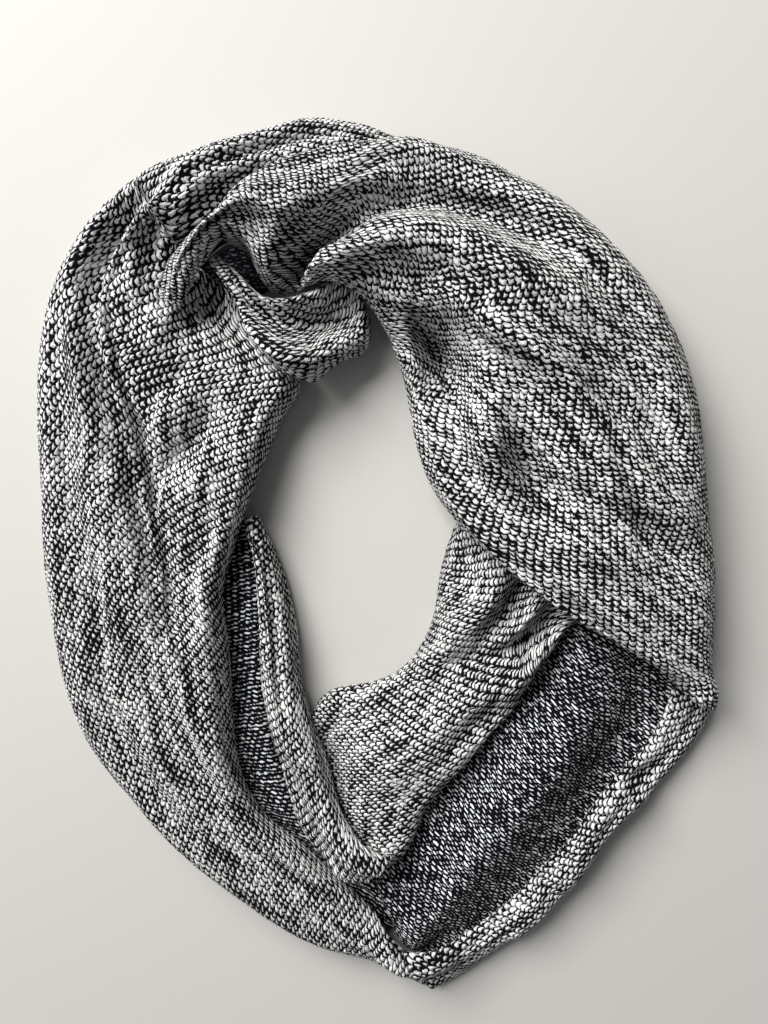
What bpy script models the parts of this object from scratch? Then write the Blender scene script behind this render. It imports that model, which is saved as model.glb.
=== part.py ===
"""Infinity scarf: a seamed loop of two-yarn knit, wound round twice and laid down in a gathered ring.

All sizes are millimetres until a mesh is made, then metres. Z is up and the scarf lies on z = 0.
Each stretch that shows is one wall of cloth between an inner edge, towards the hole, and an outer
edge. Both edges roll under. The stretches lie one on another from the floor up, and the layers
that they hide share one rounded core.
"""

import math

import bpy
import numpy as np

MM = 0.001
WALL = 2.5                  # thickness of the knitted cloth
ROLL_TURNS = (0, 45, 90)    # degrees round a rolled edge, from the top to its widest line
ROLL_UNDER = 3.5            # radius of the roll below its widest line
UNDER_TURN = 40             # degrees that the roll goes on below its widest line
ROLL_MOST = 0.9             # greatest share of a stretch's width that its two rolls take
LAYER_GAP = 0.5             # clear space between one layer and the next
REST_REACH = 12.0           # a layer rests on what lies within this distance
SAG_REACH = 4.0             # and bends softly over this distance
CELL = 2.0                  # spacing of the height maps
MAP_HALF_X = 200.0          # half the size of the height maps
MAP_HALF_Y = 250.0
FINER = 8                   # points that a height map reads along each side of a mesh face

# One row for each section across a stretch. The edges are their widest lines, seen from above.
# in_x, in_y, in_low: the inner edge; in_reach: width of its roll; in_top, mid_top, out_top: heights
# of the cloth beside the inner roll, halfway across and beside the outer roll; out_reach, out_low,
# out_x, out_y: the outer edge.
#    in_x  in_y in_low in_reach in_top mid_top out_top out_reach out_low out_x out_y
UPPER_SWEEP = (
    (  -88,   132,   35,    2,    36,    37,    36,     2,    35,   -97,   136),
    (  -83,   139,   36,    4,    39,    40,    39,     4,    36,   -95,   143),
    (  -78,   145,   37,    6,    41,    43,    42,     6,    37,   -91,   152),
    (  -72,   152,   37,    6,    43,    46,    43,     7,    36,   -81,   161),
    (  -64,   160,   27,    8,    43,    48,    43,     8,    29,   -66,   178),
    (  -57,   157,   20,   10,    43,    50,    44,     8,    27,   -50,   191),
    (  -53,   147,   14,   10,    39,    50,    42,     8,    28,   -31,   198),
    (  -48,   141,   12,   10,    33,    50,    40,     8,    27,   -13,   203),
    (  -40,   140,   12,   10,    29,    48,    38,     9,    24,     5,   206),
    (  -32,   141,   13,    9,    30,    48,    37,    12,    18,    23,   208),
    (  -21,   143,   19,    7,    35,    51,    37,    15,    12,    41,   204),
    (  -10,   140,   28,    6,    38,    53,    38,    18,     6,    64,   195),
    (   -1,   135,   26,    7,    37,    54,    40,    20,     3,    91,   180),
    (    7,   123,   14,    8,    35,    54,    42,    22,     3,   119,   156),
    (   15,   105,   10,   10,    35,    53,    42,    22,     3,   142,   125),
    (   19,    86,    8,   12,    35,    52,    42,    22,     3,   155,    93),
    (   23,    66,    8,   12,    35,    52,    42,    22,     3,   161,    61),
    (   31,    46,   14,   10,    36,    50,    42,    22,     3,   164,    32),
    (   42,    31,   22,    8,    38,    48,    41,    22,     3,   167,     7),
    (   66,     9,   28,    6,    40,    46,    40,    20,     3,   168,   -15),
    (   93,   -11,   28,    6,    40,    44,    38,    18,     3,   168,   -31),
    (  119,   -27,   26,    6,    38,    41,    35,    14,     3,   168,   -43),
    (  139,   -39,   24,    6,    33,    35,    31,    10,     8,   168,   -51),
    (  154,   -53,   18,    6,    27,    28,    25,     8,     9,   168,   -60),
)
LEFT_SWEEP = (
    (   36,   195,    4,    4,     8,     8,     8,     4,     3,    37,   203),
    (   15,   198,    6,    5,    12,    13,    12,     6,     3,    19,   212),
    (  -10,   199,   12,    5,    22,    24,    22,     9,     3,    -4,   220),
    (  -34,   195,   14,    6,    27,    30,    28,    12,     3,   -28,   223),
    (  -56,   185,   14,    6,    31,    35,    34,    15,     3,   -56,   217),
    (  -77,   170,   14,    6,    31,    37,    37,    18,     3,   -81,   210),
    (  -90,   156,   14,    6,    31,    38,    39,    20,     3,  -107,   201),
    (  -65,   137,   14,    8,    24,    34,    40,    20,     3,  -127,   187),
    (  -48,   113,   12,    8,    24,    33,    40,    20,     3,  -148,   163),
    (  -36,    96,   10,    8,    25,    34,    40,    20,     3,  -161,   136),
    (  -44,    81,   10,    8,    27,    34,    40,    18,     3,  -167,   106),
    (  -52,    63,   12,    8,    29,    34,    40,    18,     3,  -169,    73),
    (  -62,    35,   19,    7,    33,    36,    40,    18,     3,  -169,    36),
    (  -70,    11,   19,    7,    34,    36,    40,    18,     3,  -168,     2),
    (  -75,   -10,   20,    7,    35,    37,    39,    18,     3,  -165,   -30),
    (  -72,   -38,   21,    7,    37,    36,    39,    18,     3,  -160,   -61),
    (  -71,   -73,   19,    7,    35,    37,    36,    17,     3,  -148,   -92),
    (  -68,  -101,   17,    7,    32,    36,    34,    16,     3,  -128,  -120),
    (  -58,  -124,   14,    7,    29,    33,    32,    15,     3,  -107,  -143),
    (  -37,  -142,   15,    7,    26,    29,    28,    14,     3,   -82,  -167),
    (  -16,  -163,   14,    6,    23,    25,    24,    12,     3,   -53,  -188),
    (    4,  -181,   14,    6,    20,    22,    20,    10,     4,   -22,  -204),
    (   10,  -188,   12,    6,    17,    18,    16,     9,     4,     4,  -212),
    (   17,  -197,    9,    5,    13,    14,    12,     7,     3,    32,  -226),
)
KNOT_LOBE = (
    (  -73,   151,   34,    3,    37,    37,    36,     3,    33,   -70,   155),
    (  -62,   135,   33,    5,    39,    38,    37,     4,    31,   -61,   147),
    (  -54,   117,   29,    6,    38,    36,    38,     4,    29,   -54,   140),
    (  -44,   106,   24,    7,    36,    34,    36,     4,    27,   -47,   136),
    (  -35,    99,   18,    7,    34,    31,    34,     4,    26,   -38,   136),
    (  -27,    97,   17,    8,    32,    28,    32,     4,    25,   -31,   138),
    (  -20,   103,   16,    8,    31,    25,    29,     4,    23,   -24,   141),
    (  -12,   108,   15,    8,    30,    24,    25,     4,    20,   -17,   146),
    (   -4,   111,   14,    8,    28,    23,    22,     4,    17,   -10,   148),
    (    0,   120,   13,    7,    25,    21,    19,     4,    15,    -5,   146),
    (   -1,   129,   12,    5,    19,    18,    16,     4,    12,    -3,   141),
)
INNER_FOLD = (
    (  -63,    26,    6,    4,    11,    11,    11,     4,     6,   -72,    30),
    (  -59,     6,    6,    4,    13,    13,    13,     4,     7,   -80,     6),
    (  -57,   -20,    7,    4,    15,    15,    15,     4,     8,   -83,   -21),
    (  -55,   -47,    8,    4,    16,    16,    15,     4,     8,   -82,   -48),
    (  -53,   -74,    8,    4,    17,    16,    15,     4,     8,   -80,   -75),
    (  -48,  -100,    9,    4,    17,    16,    14,     4,     7,   -76,  -104),
    (  -40,  -120,    9,    4,    17,    15,    13,     4,     6,   -67,  -126),
    (  -28,  -142,    7,    4,    13,    11,    10,     4,     5,   -52,  -144),
    (  -12,  -160,    5,    4,    10,     9,     8,     4,     4,   -32,  -161),
    (    8,  -172,    4,    4,     8,     8,     7,     4,     4,   -15,  -176),
    (   22,  -193,    4,    4,     7,     7,     7,     4,     4,     2,  -192),
)
INNER_CURL = (
    (  -59,    30,    7,    4,    13,    14,    13,     4,    13,   -65,    28),
    (  -52,    14,    6,    5,    20,    22,    20,     4,    16,   -60,    12),
    (  -45,    -7,    5,    7,    22,    25,    23,     4,    17,   -57,    -9),
    (  -40,   -31,    5,    8,    24,    27,    25,     4,    18,   -56,   -31),
    (  -38,   -55,    6,    8,    25,    28,    26,     4,    19,   -55,   -54),
    (  -32,   -74,    9,    8,    27,    30,    27,     5,    20,   -52,   -75),
    (  -24,   -92,   13,    8,    28,    31,    28,     5,    20,   -47,   -93),
    (  -18,  -111,   16,    8,    28,    31,    28,     5,    20,   -42,  -110),
    (  -12,  -122,   18,    8,    27,    30,    27,     5,    19,   -37,  -127),
    (   -4,  -130,   19,    7,    26,    28,    26,     5,    18,   -30,  -140),
    (    5,  -134,   19,    6,    24,    25,    24,     5,    17,   -18,  -151),
    (   13,  -136,   17,    5,    21,    21,    20,     4,    15,    -1,  -153),
)
LOWER_PANEL = (
    (   50,    39,    6,    8,    15,    20,    20,     5,    16,   114,   -14),
    (   41,    22,    5,   10,    20,    25,    24,     6,    19,   100,   -20),
    (   35,     1,    5,   12,    22,    29,    27,     7,    21,    90,   -33),
    (   32,   -20,    4,   13,    21,    29,    27,     7,    21,    81,   -47),
    (   25,   -38,    4,   14,    20,    28,    26,     7,    21,    71,   -64),
    (   13,   -52,    4,   14,    18,    27,    26,     7,    21,    59,   -79),
    (   -3,   -59,    4,   14,    17,    27,    26,     7,    21,    47,   -96),
    (  -19,   -62,    4,   14,    16,    27,    26,     7,    21,    37,  -107),
    (  -29,   -70,    4,   13,    16,    26,    26,     7,    21,    28,  -120),
    (  -35,   -88,    5,    8,    11,    25,    26,     7,    21,    23,  -132),
    (  -31,  -110,    5,    8,    11,    23,    24,     7,    19,    16,  -143),
    (  -24,  -129,    5,    7,    10,    15,    17,     6,    12,     5,  -153),
    (  -15,  -143,    5,    5,     9,    10,    12,     5,     8,    -2,  -157),
)
REVERSE_PANEL = (
    (   65,     8,    6,    6,    10,    13,     9,    12,     5,   155,   -39),
    (   73,   -18,    6,    6,    11,    18,     7,    12,     4,   157,   -60),
    (   70,   -41,    6,    6,    13,    24,     8,    13,     4,   155,   -75),
    (   61,   -62,    6,    6,    14,    26,    10,    14,     5,   147,   -92),
    (   48,   -82,    6,    6,    14,    27,    10,    14,     5,   137,  -108),
    (   36,   -99,    6,    6,    14,    27,    10,    14,     5,   125,  -124),
    (   25,  -116,    6,    6,    15,    27,    10,    14,     5,   115,  -141),
    (   16,  -128,    8,    6,    16,    27,    10,    14,     5,   102,  -157),
    (    8,  -142,   10,    6,    17,    27,    10,    14,     5,    89,  -173),
    (    2,  -156,   10,    6,    18,    25,    10,    12,     5,    73,  -188),
    (    5,  -169,    9,    6,    17,    23,    10,    12,     5,    58,  -198),
    (   10,  -181,    7,    6,    14,    17,    10,    10,     5,    43,  -206),
    (   13,  -192,    5,    5,     9,    10,     8,     7,     4,    32,  -209),
    (   16,  -197,    4,    3,     7,     7,     7,     4,     4,    26,  -209),
)
LOWER_RIM = (
    (  151,   -55,    9,    5,    12,    12,    11,     6,     3,   171,   -58),
    (  147,   -67,   11,    5,    14,    14,    12,     8,     3,   170,   -70),
    (  139,   -82,   13,    5,    17,    17,    15,     8,     3,   160,   -88),
    (  128,   -95,   13,    5,    17,    17,    15,     8,     3,   146,  -106),
    (  118,  -108,   13,    5,    17,    17,    15,     8,     3,   134,  -118),
    (  109,  -121,   13,    5,    17,    17,    15,     8,     3,   122,  -131),
    (  100,  -135,   13,    5,    17,    17,    15,     8,     3,   115,  -143),
    (   91,  -146,   13,    5,    17,    17,    15,     8,     3,   106,  -157),
    (   81,  -159,   13,    5,    17,    17,    15,     8,     3,    95,  -171),
    (   69,  -172,   13,    5,    17,    17,    15,     8,     3,    83,  -185),
    (   56,  -183,   13,    5,    16,    16,    14,     8,     3,    69,  -199),
    (   43,  -191,   12,    5,    15,    15,    13,     8,     3,    56,  -210),
    (   29,  -196,   10,    5,    14,    14,    12,     7,     3,    45,  -219),
    (   18,  -197,    9,    5,    13,    14,    12,     7,     3,    33,  -226),
)
IN_LOW, IN_REACH, IN_TOP, MID_TOP, OUT_TOP, OUT_REACH, OUT_LOW = range(2, 9)
INNER_EDGE = slice(0, 2)
OUTER_EDGE = slice(9, 11)

# One row for each fold: from (x1, y1) past (x2, y2) to (x3, y3); half of its width; its height,
# below zero in a trough.
#      x1    y1    x2    y2    x3    y3  half_width height
UPPER_SWEEP_FOLDS = (
    (  -84,   141,   -71,   161,   -45,   177,    6,    4),
    (  -45,   177,   -10,   189,    34,   189,   10,    4),
    (  -34,   135,   -25,   158,    17,   176,    7,  -12),
    (  -37,   135,   -31,   146,   -22,   157,    6,   -7),
    (   -1,   171,    30,   178,    78,   159,   13,   -7),
    (  -41,   136,   -43,   149,   -35,   167,    7,    7),
    (    0,   133,    48,   125,    92,    97,    8,    8),
    (    6,   128,    33,   109,    49,    76,    8,  -13),
    (   17,   111,    28,    90,    31,    73,    6,   -4),
    (   48,   104,    57,    73,    63,    28,   12,    4),
    (  -13,   147,    48,   145,   120,   111,   18,    4),
    (   69,   162,   108,   136,   143,   110,   11,   -5),
    (   71,    73,    82,    51,    89,    33,   12,   -4),
    (  105,    95,   123,    60,   129,    16,   16,    3),
    (   49,    38,    86,     8,   132,   -27,    9,    3),
)
LEFT_SWEEP_FOLDS = (
    (  -89,   187,  -118,   170,  -130,   137,    7,  -14),
    (  -58,   204,   -90,   186,  -106,   138,    8,    6),
    (  -29,   200,   -65,   189,   -87,   162,    6,   -5),
    (  -16,   209,   -38,   209,   -59,   201,    5,   -4),
    ( -147,    69,  -145,    10,  -122,   -59,   10,   -3),
    ( -109,   -56,   -84,  -112,   -34,  -157,   10,   -3),
    (  -89,   -61,   -67,  -112,   -29,  -148,    9,    3),
    ( -103,   115,   -92,   134,   -74,   156,    6,    8),
    (  -60,   181,   -80,   161,   -99,   124,    5,   -7),
    (  -89,   122,   -78,   137,   -65,   150,   11,  -12),
    (  -36,    87,   -50,    54,   -64,    11,   10,    4),
)
KNOT_LOBE_FOLDS = (
    (  -55,   134,   -33,   124,    -6,   132,    7,   -6),
    (  -52,   113,   -35,   104,   -10,   113,    7,    3),
    (  -58,   141,   -44,   124,   -21,   106,   10,    2),
)
LOWER_PANEL_FOLDS = (
    (   93,   -10,    74,   -32,    49,   -44,    6,  -12),
    (   76,     6,    68,   -17,    50,   -37,    6,  -11),
    (   64,    12,    55,   -13,    38,   -33,    8,    5),
    (   85,    -4,    71,   -27,    50,   -40,    6,    7),
    (   56,    23,    47,     6,    41,   -10,    7,   -6),
    (   95,   -26,    84,   -42,    60,   -58,    8,    4),
    (  -20,   -73,   -21,   -89,   -12,  -115,   10,   -4),
    (    6,   -59,    16,   -90,    11,  -121,   26,    3),
)
REVERSE_PANEL_FOLDS = (
    (  111,   -30,    94,   -75,    66,  -116,   22,    2),
    (   75,   -76,    51,  -108,    41,  -139,   10,   -2),
)
LOWER_RIM_FOLDS = (
    (  159,   -69,   117,  -123,    47,  -201,    4,   -2),
)
FOLD_STEPS = 25             # points along a fold's line
FOLD_ENDS = 0.08            # share of its fade that a fold has already gone through at its ends
FOLD_FADE = 0.7             # how fully a fold keeps its height towards its ends

# The lap: where the outer part of the left sweep folds over its inner panel. along and across are
# hundredths of the stretch's length and of its top; rise is the height of the lap.
#    along across rise
LEFT_SWEEP_LAP = (
    (    25,    66,    5),
    (    29,    84,   13),
    (    32,    87,   15),
    (    35,    81,   15),
    (    37,    74,   14),
    (    40,    66,   13),
    (    42,    60,   13),
    (    46,    51,   13),
    (    50,    41,   12),
    (    54,    32,   11),
    (    59,    25,   10),
    (    61,    21,    7),
    (    65,    16,    3),
    (    67,    12,    0),
)
LAP_WALL = 7.0              # width of the steep side of the lap
LAP_WALL_MOST = 0.2         # greatest share of the top that it takes
LAP_REACH = 26.0            # distance over which the lap levels out

# Stretches from the floor up: name, sections, folds, lap, stations along, cells across the top (for
# a lap: inside it, down its steep side and outside it).
STRETCHES = (
    ("inner_fold", INNER_FOLD, (), (), 16, (3,)),
    ("reverse_panel", REVERSE_PANEL, REVERSE_PANEL_FOLDS, (), 18, (9,)),
    ("lower_rim", LOWER_RIM, (), (), 20, (2,)),
    ("lower_panel", LOWER_PANEL, LOWER_PANEL_FOLDS, (), 24, (12,)),
    ("inner_curl", INNER_CURL, (), (), 18, (2,)),
    ("left_sweep", LEFT_SWEEP, LEFT_SWEEP_FOLDS, LEFT_SWEEP_LAP, 42, (4, 3, 4)),
    ("knot_lobe", KNOT_LOBE, KNOT_LOBE_FOLDS, (), 17, (4,)),
    ("upper_sweep", UPPER_SWEEP, UPPER_SWEEP_FOLDS, (), 42, (11,)),
)

# The hidden core, round the ring: the two ends of its foot at each section.
#   inner_x inner_y outer_x outer_y
CORE = (
    (  -28,   109,   -28,   210),
    (  -17,   113,     4,   204),
    (   -4,   116,    38,   196),
    (   10,   113,    77,   178),
    (   18,   101,   112,   151),
    (   23,    86,   137,   117),
    (   29,    68,   148,    78),
    (   38,    48,   155,    39),
    (   53,    22,   158,    -7),
    (   56,    -9,   159,   -38),
    (   53,   -35,   152,   -62),
    (   43,   -62,   133,   -89),
    (   27,   -77,   114,  -119),
    (   14,   -83,    91,  -148),
    (    1,   -85,    68,  -172),
    (  -12,   -87,    44,  -188),
    (  -21,   -95,    14,  -193),
    (  -34,   -98,   -24,  -186),
    (  -48,   -90,   -62,  -168),
    (  -56,   -71,   -97,  -141),
    (  -60,   -44,  -124,  -108),
    (  -62,   -17,  -149,   -69),
    (  -66,     5,  -162,   -35),
    (  -71,    24,  -167,     3),
    (  -71,    42,  -168,    47),
    (  -67,    60,  -168,    89),
    (  -60,    76,  -161,   128),
    (  -51,    90,  -142,   166),
    (  -42,   100,  -107,   195),
    (  -36,   106,   -67,   209),
)
CORE_STATIONS = 60
CORE_ACROSS = 7             # cells across its top
CORE_LAYERS = 3             # folded layers that show in its sides
LAYER_BULGE = 2.0           # how far each layer stands out between its grooves
CORE_REACH = 18.0           # the core stays below every stretch within this distance
CORE_LEAST = 1.2            # least height of the core
CORE_SIDE = 12.0            # height that its sides have where there is room for it
CORE_MOST = 50.0            # greatest height of the core
DRAWN_MOST = 0.4            # greatest share of its width by which a side is drawn in
DRAWN_STEPS = 21

FACE_WOOL = (0.36, 0.36, 0.35)
REVERSE_WOOL = (0.075, 0.077, 0.085)
REVERSE_SIDES = ("inner_fold", "reverse_panel", "hidden_layers")
WOOL_ROUGHNESS = 0.95


def smooth_rows(table, count, start, end, closed=False):
    """Read `count` rows from a smooth curve through a table, evenly spaced along its middle line."""
    rows = np.array(table, float)
    if closed:
        rows = np.vstack([rows, rows[:1]])
    middle = (rows[:, start] + rows[:, end]) / 2
    along = np.concatenate([[0], np.cumsum(np.linalg.norm(np.diff(middle, axis=0), axis=1))])
    if closed:
        wrapped = np.vstack([rows[-2:-1], rows, rows[1:2]])
        wrapped_along = np.concatenate([[along[-2] - along[-1]], along, [along[-1] + along[1]]])
        slopes = np.gradient(wrapped, wrapped_along, axis=0)[1:-1]
    else:
        slopes = np.gradient(rows, along, axis=0)
    at = np.linspace(0, along[-1], count, endpoint=not closed)
    row = np.clip(np.searchsorted(along, at, side="right") - 1, 0, len(rows) - 2)
    span = (along[row + 1] - along[row])[:, None]
    t = (at - along[row])[:, None] / span
    return (
        (2 * t**3 - 3 * t**2 + 1) * rows[row]
        + (t**3 - 2 * t**2 + t) * span * slopes[row]
        + (3 * t**2 - 2 * t**3) * rows[row + 1]
        + (t**3 - t**2) * span * slopes[row + 1]
    )


def rolled_edge(edge, inward, low, reach, top):
    """Points of one rolled edge, from the top of the cloth round its widest line and under."""
    points = []
    for turn in ROLL_TURNS:
        angle = math.radians(turn)
        inset = reach * (1 - math.sin(angle))
        height = top - (top - low) * (1 - math.cos(angle))
        points.append(np.column_stack([edge + inward * inset[:, None], height]))
    under = math.radians(UNDER_TURN)
    inset = ROLL_UNDER * (1 - math.cos(under))
    points.append(np.column_stack([edge + inward * inset, low - ROLL_UNDER * math.sin(under)]))
    return points


def lap_line(lap, stations):
    """Share across the top and height of a stretch's lap at each station."""
    if not lap:
        return np.full(stations, 0.5), np.zeros(stations)
    along, across, rise = np.array(lap, float).T
    at = np.linspace(0, 100, stations)
    return np.interp(at, along, across) / 100, np.interp(at, along, rise, left=0, right=0)


def top_shares(lap_at, wall, across):
    """Shares across the top of a stretch, between its rolls, with columns that follow its lap."""
    if len(across) == 1:
        return [np.full_like(lap_at, step / across[0]) for step in range(1, across[0])]
    stops = [np.zeros_like(lap_at), lap_at - wall / 2, lap_at + wall / 2, np.ones_like(lap_at)]
    shares = []
    for cells, start, end in zip(across, stops, stops[1:]):
        shares += [start + (end - start) * step / cells for step in range(cells)]
    return shares[1:]


def top_height(rows, share):
    """Height of the cloth at a share of the way across the top of each section."""
    rise = 3 * share**2 - 2 * share**3
    middle_rise = rows[:, MID_TOP] - (rows[:, IN_TOP] + rows[:, OUT_TOP]) / 2
    level = rows[:, IN_TOP] + (rows[:, OUT_TOP] - rows[:, IN_TOP]) * rise
    return level + middle_rise * np.sin(math.pi * share) ** 2


def lap_height(lap_at, lap_rise, share, top_width):
    """Height that a lap adds: up outside its steep side, down inside it, level further off."""
    beyond = (share - lap_at) * top_width
    step = np.tanh(3 * beyond / LAP_WALL) * np.exp(-np.abs(beyond) / LAP_REACH)
    return lap_rise / 2 * step * np.sin(math.pi * share)


def fold_heights(points, folds):
    """Height that the folds add at each point: soft ridges and troughs that fade at both ends."""
    added = np.zeros(points.shape[:-1])
    t = np.linspace(0, 1, FOLD_STEPS)
    fade = np.sin(math.pi * (FOLD_ENDS + (1 - 2 * FOLD_ENDS) * t)) ** FOLD_FADE
    for x1, y1, x2, y2, x3, y3, half_width, height in folds:
        start, past, end = np.array((x1, y1)), np.array((x2, y2)), np.array((x3, y3))
        bend = 2 * past - (start + end) / 2
        line = np.outer((1 - t) ** 2, start) + np.outer(2 * t * (1 - t), bend) + np.outer(t**2, end)
        away = np.linalg.norm(points[..., None, :2] - line, axis=-1)
        nearest = away.argmin(axis=-1)
        added += height * fade[nearest] * np.exp(-((away.min(axis=-1) / half_width) ** 2))
    return added


def stretch_surface(sections, folds, lap, stations, across):
    """The outer side of one stretch, as a grid of points: stations along, points across."""
    rows = smooth_rows(sections, stations, INNER_EDGE, OUTER_EDGE)
    inner, outer = rows[:, INNER_EDGE], rows[:, OUTER_EDGE]
    width = np.linalg.norm(outer - inner, axis=1)
    outward = (outer - inner) / width[:, None]
    squeeze = np.minimum(1, ROLL_MOST * width / (rows[:, IN_REACH] + rows[:, OUT_REACH]))
    in_reach = rows[:, IN_REACH] * squeeze
    out_reach = rows[:, OUT_REACH] * squeeze
    top_width = width - in_reach - out_reach
    lap_at, lap_rise = lap_line(lap, stations)
    top = []
    for share in top_shares(lap_at, np.minimum(LAP_WALL / top_width, LAP_WALL_MOST), across):
        place = inner + outward * (in_reach + share * top_width)[:, None]
        height = top_height(rows, share) + lap_height(lap_at, lap_rise, share, top_width)
        top.append(np.column_stack([place, height]))
    inner_roll = rolled_edge(inner, outward, rows[:, IN_LOW], in_reach, rows[:, IN_TOP])
    outer_roll = rolled_edge(outer, -outward, rows[:, OUT_LOW], out_reach, rows[:, OUT_TOP])
    surface = np.stack(inner_roll[::-1] + top + outer_roll, axis=1)
    roll_share = [math.cos(math.radians(turn)) for turn in ROLL_TURNS] + [0]
    share_of_fold = np.array(roll_share[::-1] + [1] * len(top) + roll_share)
    surface[:, :, 2] += fold_heights(surface, folds) * share_of_fold
    return surface


def thicken(surface):
    """The inner side of a wall of cloth whose outer side is `surface`."""
    normal = np.cross(np.gradient(surface, axis=1), np.gradient(surface, axis=0))
    normal /= np.linalg.norm(normal, axis=-1, keepdims=True)
    if normal[:, surface.shape[1] // 2, 2].mean() < 0:
        normal = -normal
    return surface - WALL * normal


def finer(surface):
    """More points on the flat faces of a grid."""
    rows, columns = surface.shape[:2]
    i = np.linspace(0, rows - 1, (rows - 1) * FINER + 1)
    j = np.linspace(0, columns - 1, (columns - 1) * FINER + 1)
    near = np.minimum(i.astype(int), rows - 2)
    left = np.minimum(j.astype(int), columns - 2)
    down = (i - near)[:, None, None]
    right = (j - left)[None, :, None]
    upper = (1 - right) * surface[near][:, left] + right * surface[near][:, left + 1]
    lower = (1 - right) * surface[near + 1][:, left] + right * surface[near + 1][:, left + 1]
    return (1 - down) * upper + down * lower


def map_cells(points):
    """Row and column of each point in the height maps."""
    column = np.rint((points[..., 0] + MAP_HALF_X) / CELL).astype(int)
    row = np.rint((points[..., 1] + MAP_HALF_Y) / CELL).astype(int)
    return row, column


def height_map(surfaces, pick, empty):
    """Least or greatest height of some surfaces over each cell, and `empty` where there are none."""
    heights = np.full((round(2 * MAP_HALF_Y / CELL) + 1, round(2 * MAP_HALF_X / CELL) + 1), empty)
    for surface in surfaces:
        points = finer(surface).reshape(-1, 3)
        pick.at(heights, map_cells(points), points[:, 2])
    return heights


def spread(heights, reach, pick):
    """Least or greatest height within `reach` of each cell."""
    cells = round(reach / CELL)
    height, width = heights.shape
    padded = np.pad(heights, cells, mode="edge")
    result = heights
    for row in range(2 * cells + 1):
        for column in range(2 * cells + 1):
            if math.hypot(row - cells, column - cells) <= cells:
                result = pick(result, padded[row : row + height, column : column + width])
    return result


def soften(heights, reach):
    """Mean height within `reach` of each cell."""
    cells = round(reach / CELL)
    for _ in range(2):
        padded = np.pad(heights, [(cells, cells), (0, 0)], mode="edge")
        shifted = [padded[k : k + len(heights)] for k in range(2 * cells + 1)]
        heights = np.mean(shifted, axis=0).T
    return heights


def laid_on(surface, ground):
    """Lift a stretch where it would dip into what already lies there."""
    underside = height_map([surface, thicken(surface)], np.minimum, np.inf)
    meets = np.isfinite(underside) & np.isfinite(ground)
    lift = np.zeros_like(ground)
    lift[meets] = np.maximum(ground[meets] + LAYER_GAP - underside[meets], 0)
    lift = soften(spread(lift, REST_REACH, np.maximum), SAG_REACH)
    lifted = surface.copy()
    lifted[..., 2] += lift[map_cells(surface)]
    return lifted


def wall_mesh(name, surface):
    """One closed wall of cloth: its outer side, its inner side and its four cut edges."""
    rows, columns = surface.shape[:2]
    vertices = np.concatenate([surface.reshape(-1, 3), thicken(surface).reshape(-1, 3)])
    outer = np.arange(rows * columns).reshape(rows, columns)
    inner = outer + rows * columns
    faces = []
    for i in range(rows - 1):
        for j in range(columns - 1):
            faces.append((outer[i, j], outer[i + 1, j], outer[i + 1, j + 1], outer[i, j + 1]))
            faces.append((inner[i, j], inner[i, j + 1], inner[i + 1, j + 1], inner[i + 1, j]))
    rim = [(i, 0) for i in range(rows)]
    rim += [(rows - 1, j) for j in range(1, columns)]
    rim += [(i, columns - 1) for i in range(rows - 2, -1, -1)]
    rim += [(0, j) for j in range(columns - 2, 0, -1)]
    for here, there in zip(rim, rim[1:] + rim[:1]):
        faces.append((outer[there], outer[here], inner[here], inner[there]))
    return solid(name, vertices, faces)


def drawn_in(edge, far, room):
    """One side of the core, moved from `edge` towards `far` to where the stretches leave room."""
    shares = np.linspace(0, DRAWN_MOST, DRAWN_STEPS)
    places = edge[:, None] + (far - edge)[:, None] * shares[:, None]
    tall = room[map_cells(places)] >= CORE_SIDE
    first = np.where(tall.any(axis=1), tall.argmax(axis=1), DRAWN_STEPS - 1)
    widest = np.maximum(first, np.maximum(np.roll(first, 1), np.roll(first, -1)))
    eased = (np.roll(widest, 1) + 2 * widest + np.roll(widest, -1)) / 4
    share = np.maximum(eased, first) * DRAWN_MOST / (DRAWN_STEPS - 1)
    return edge + (far - edge) * share[:, None]


def core_side(edge, away, height):
    """Points up one side of the core, with a bulge for each folded layer."""
    levels = []
    for step in range(2 * CORE_LAYERS):
        bulge = LAYER_BULGE if step % 2 else 0
        levels.append(np.column_stack([edge + away * bulge, height * step / (2 * CORE_LAYERS)]))
    return levels


def core_mesh(underside):
    """The hidden layers: a ring with a flat foot, layered sides and a soft top under the stretches."""
    rows = smooth_rows(CORE, CORE_STATIONS, slice(0, 2), slice(2, 4), closed=True)
    inner, outer = rows[:, :2], rows[:, 2:]
    room = spread(np.minimum(underside, CORE_MOST), CORE_REACH, np.minimum)
    room = soften(room, SAG_REACH) - LAYER_GAP
    inner, outer = drawn_in(inner, outer, room), drawn_in(outer, inner, room)
    outward = (outer - inner) / np.linalg.norm(outer - inner, axis=1)[:, None]
    top = []
    for step in range(CORE_ACROSS + 1):
        place = inner + (outer - inner) * step / CORE_ACROSS
        top.append(np.column_stack([place, np.maximum(room[map_cells(place)], CORE_LEAST)]))
    inner_side = core_side(inner, -outward, top[0][:, 2])
    outer_side = core_side(outer, outward, top[-1][:, 2])
    grid = np.stack(inner_side + top + outer_side[::-1], axis=1)
    count, around = grid.shape[:2]
    index = np.arange(count * around).reshape(count, around)
    faces = []
    for i in range(count):
        for j in range(around):
            k, n = (i + 1) % count, (j + 1) % around
            faces.append((index[i, j], index[k, j], index[k, n], index[i, n]))
    return solid("hidden_layers", grid.reshape(-1, 3), faces)


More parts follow.
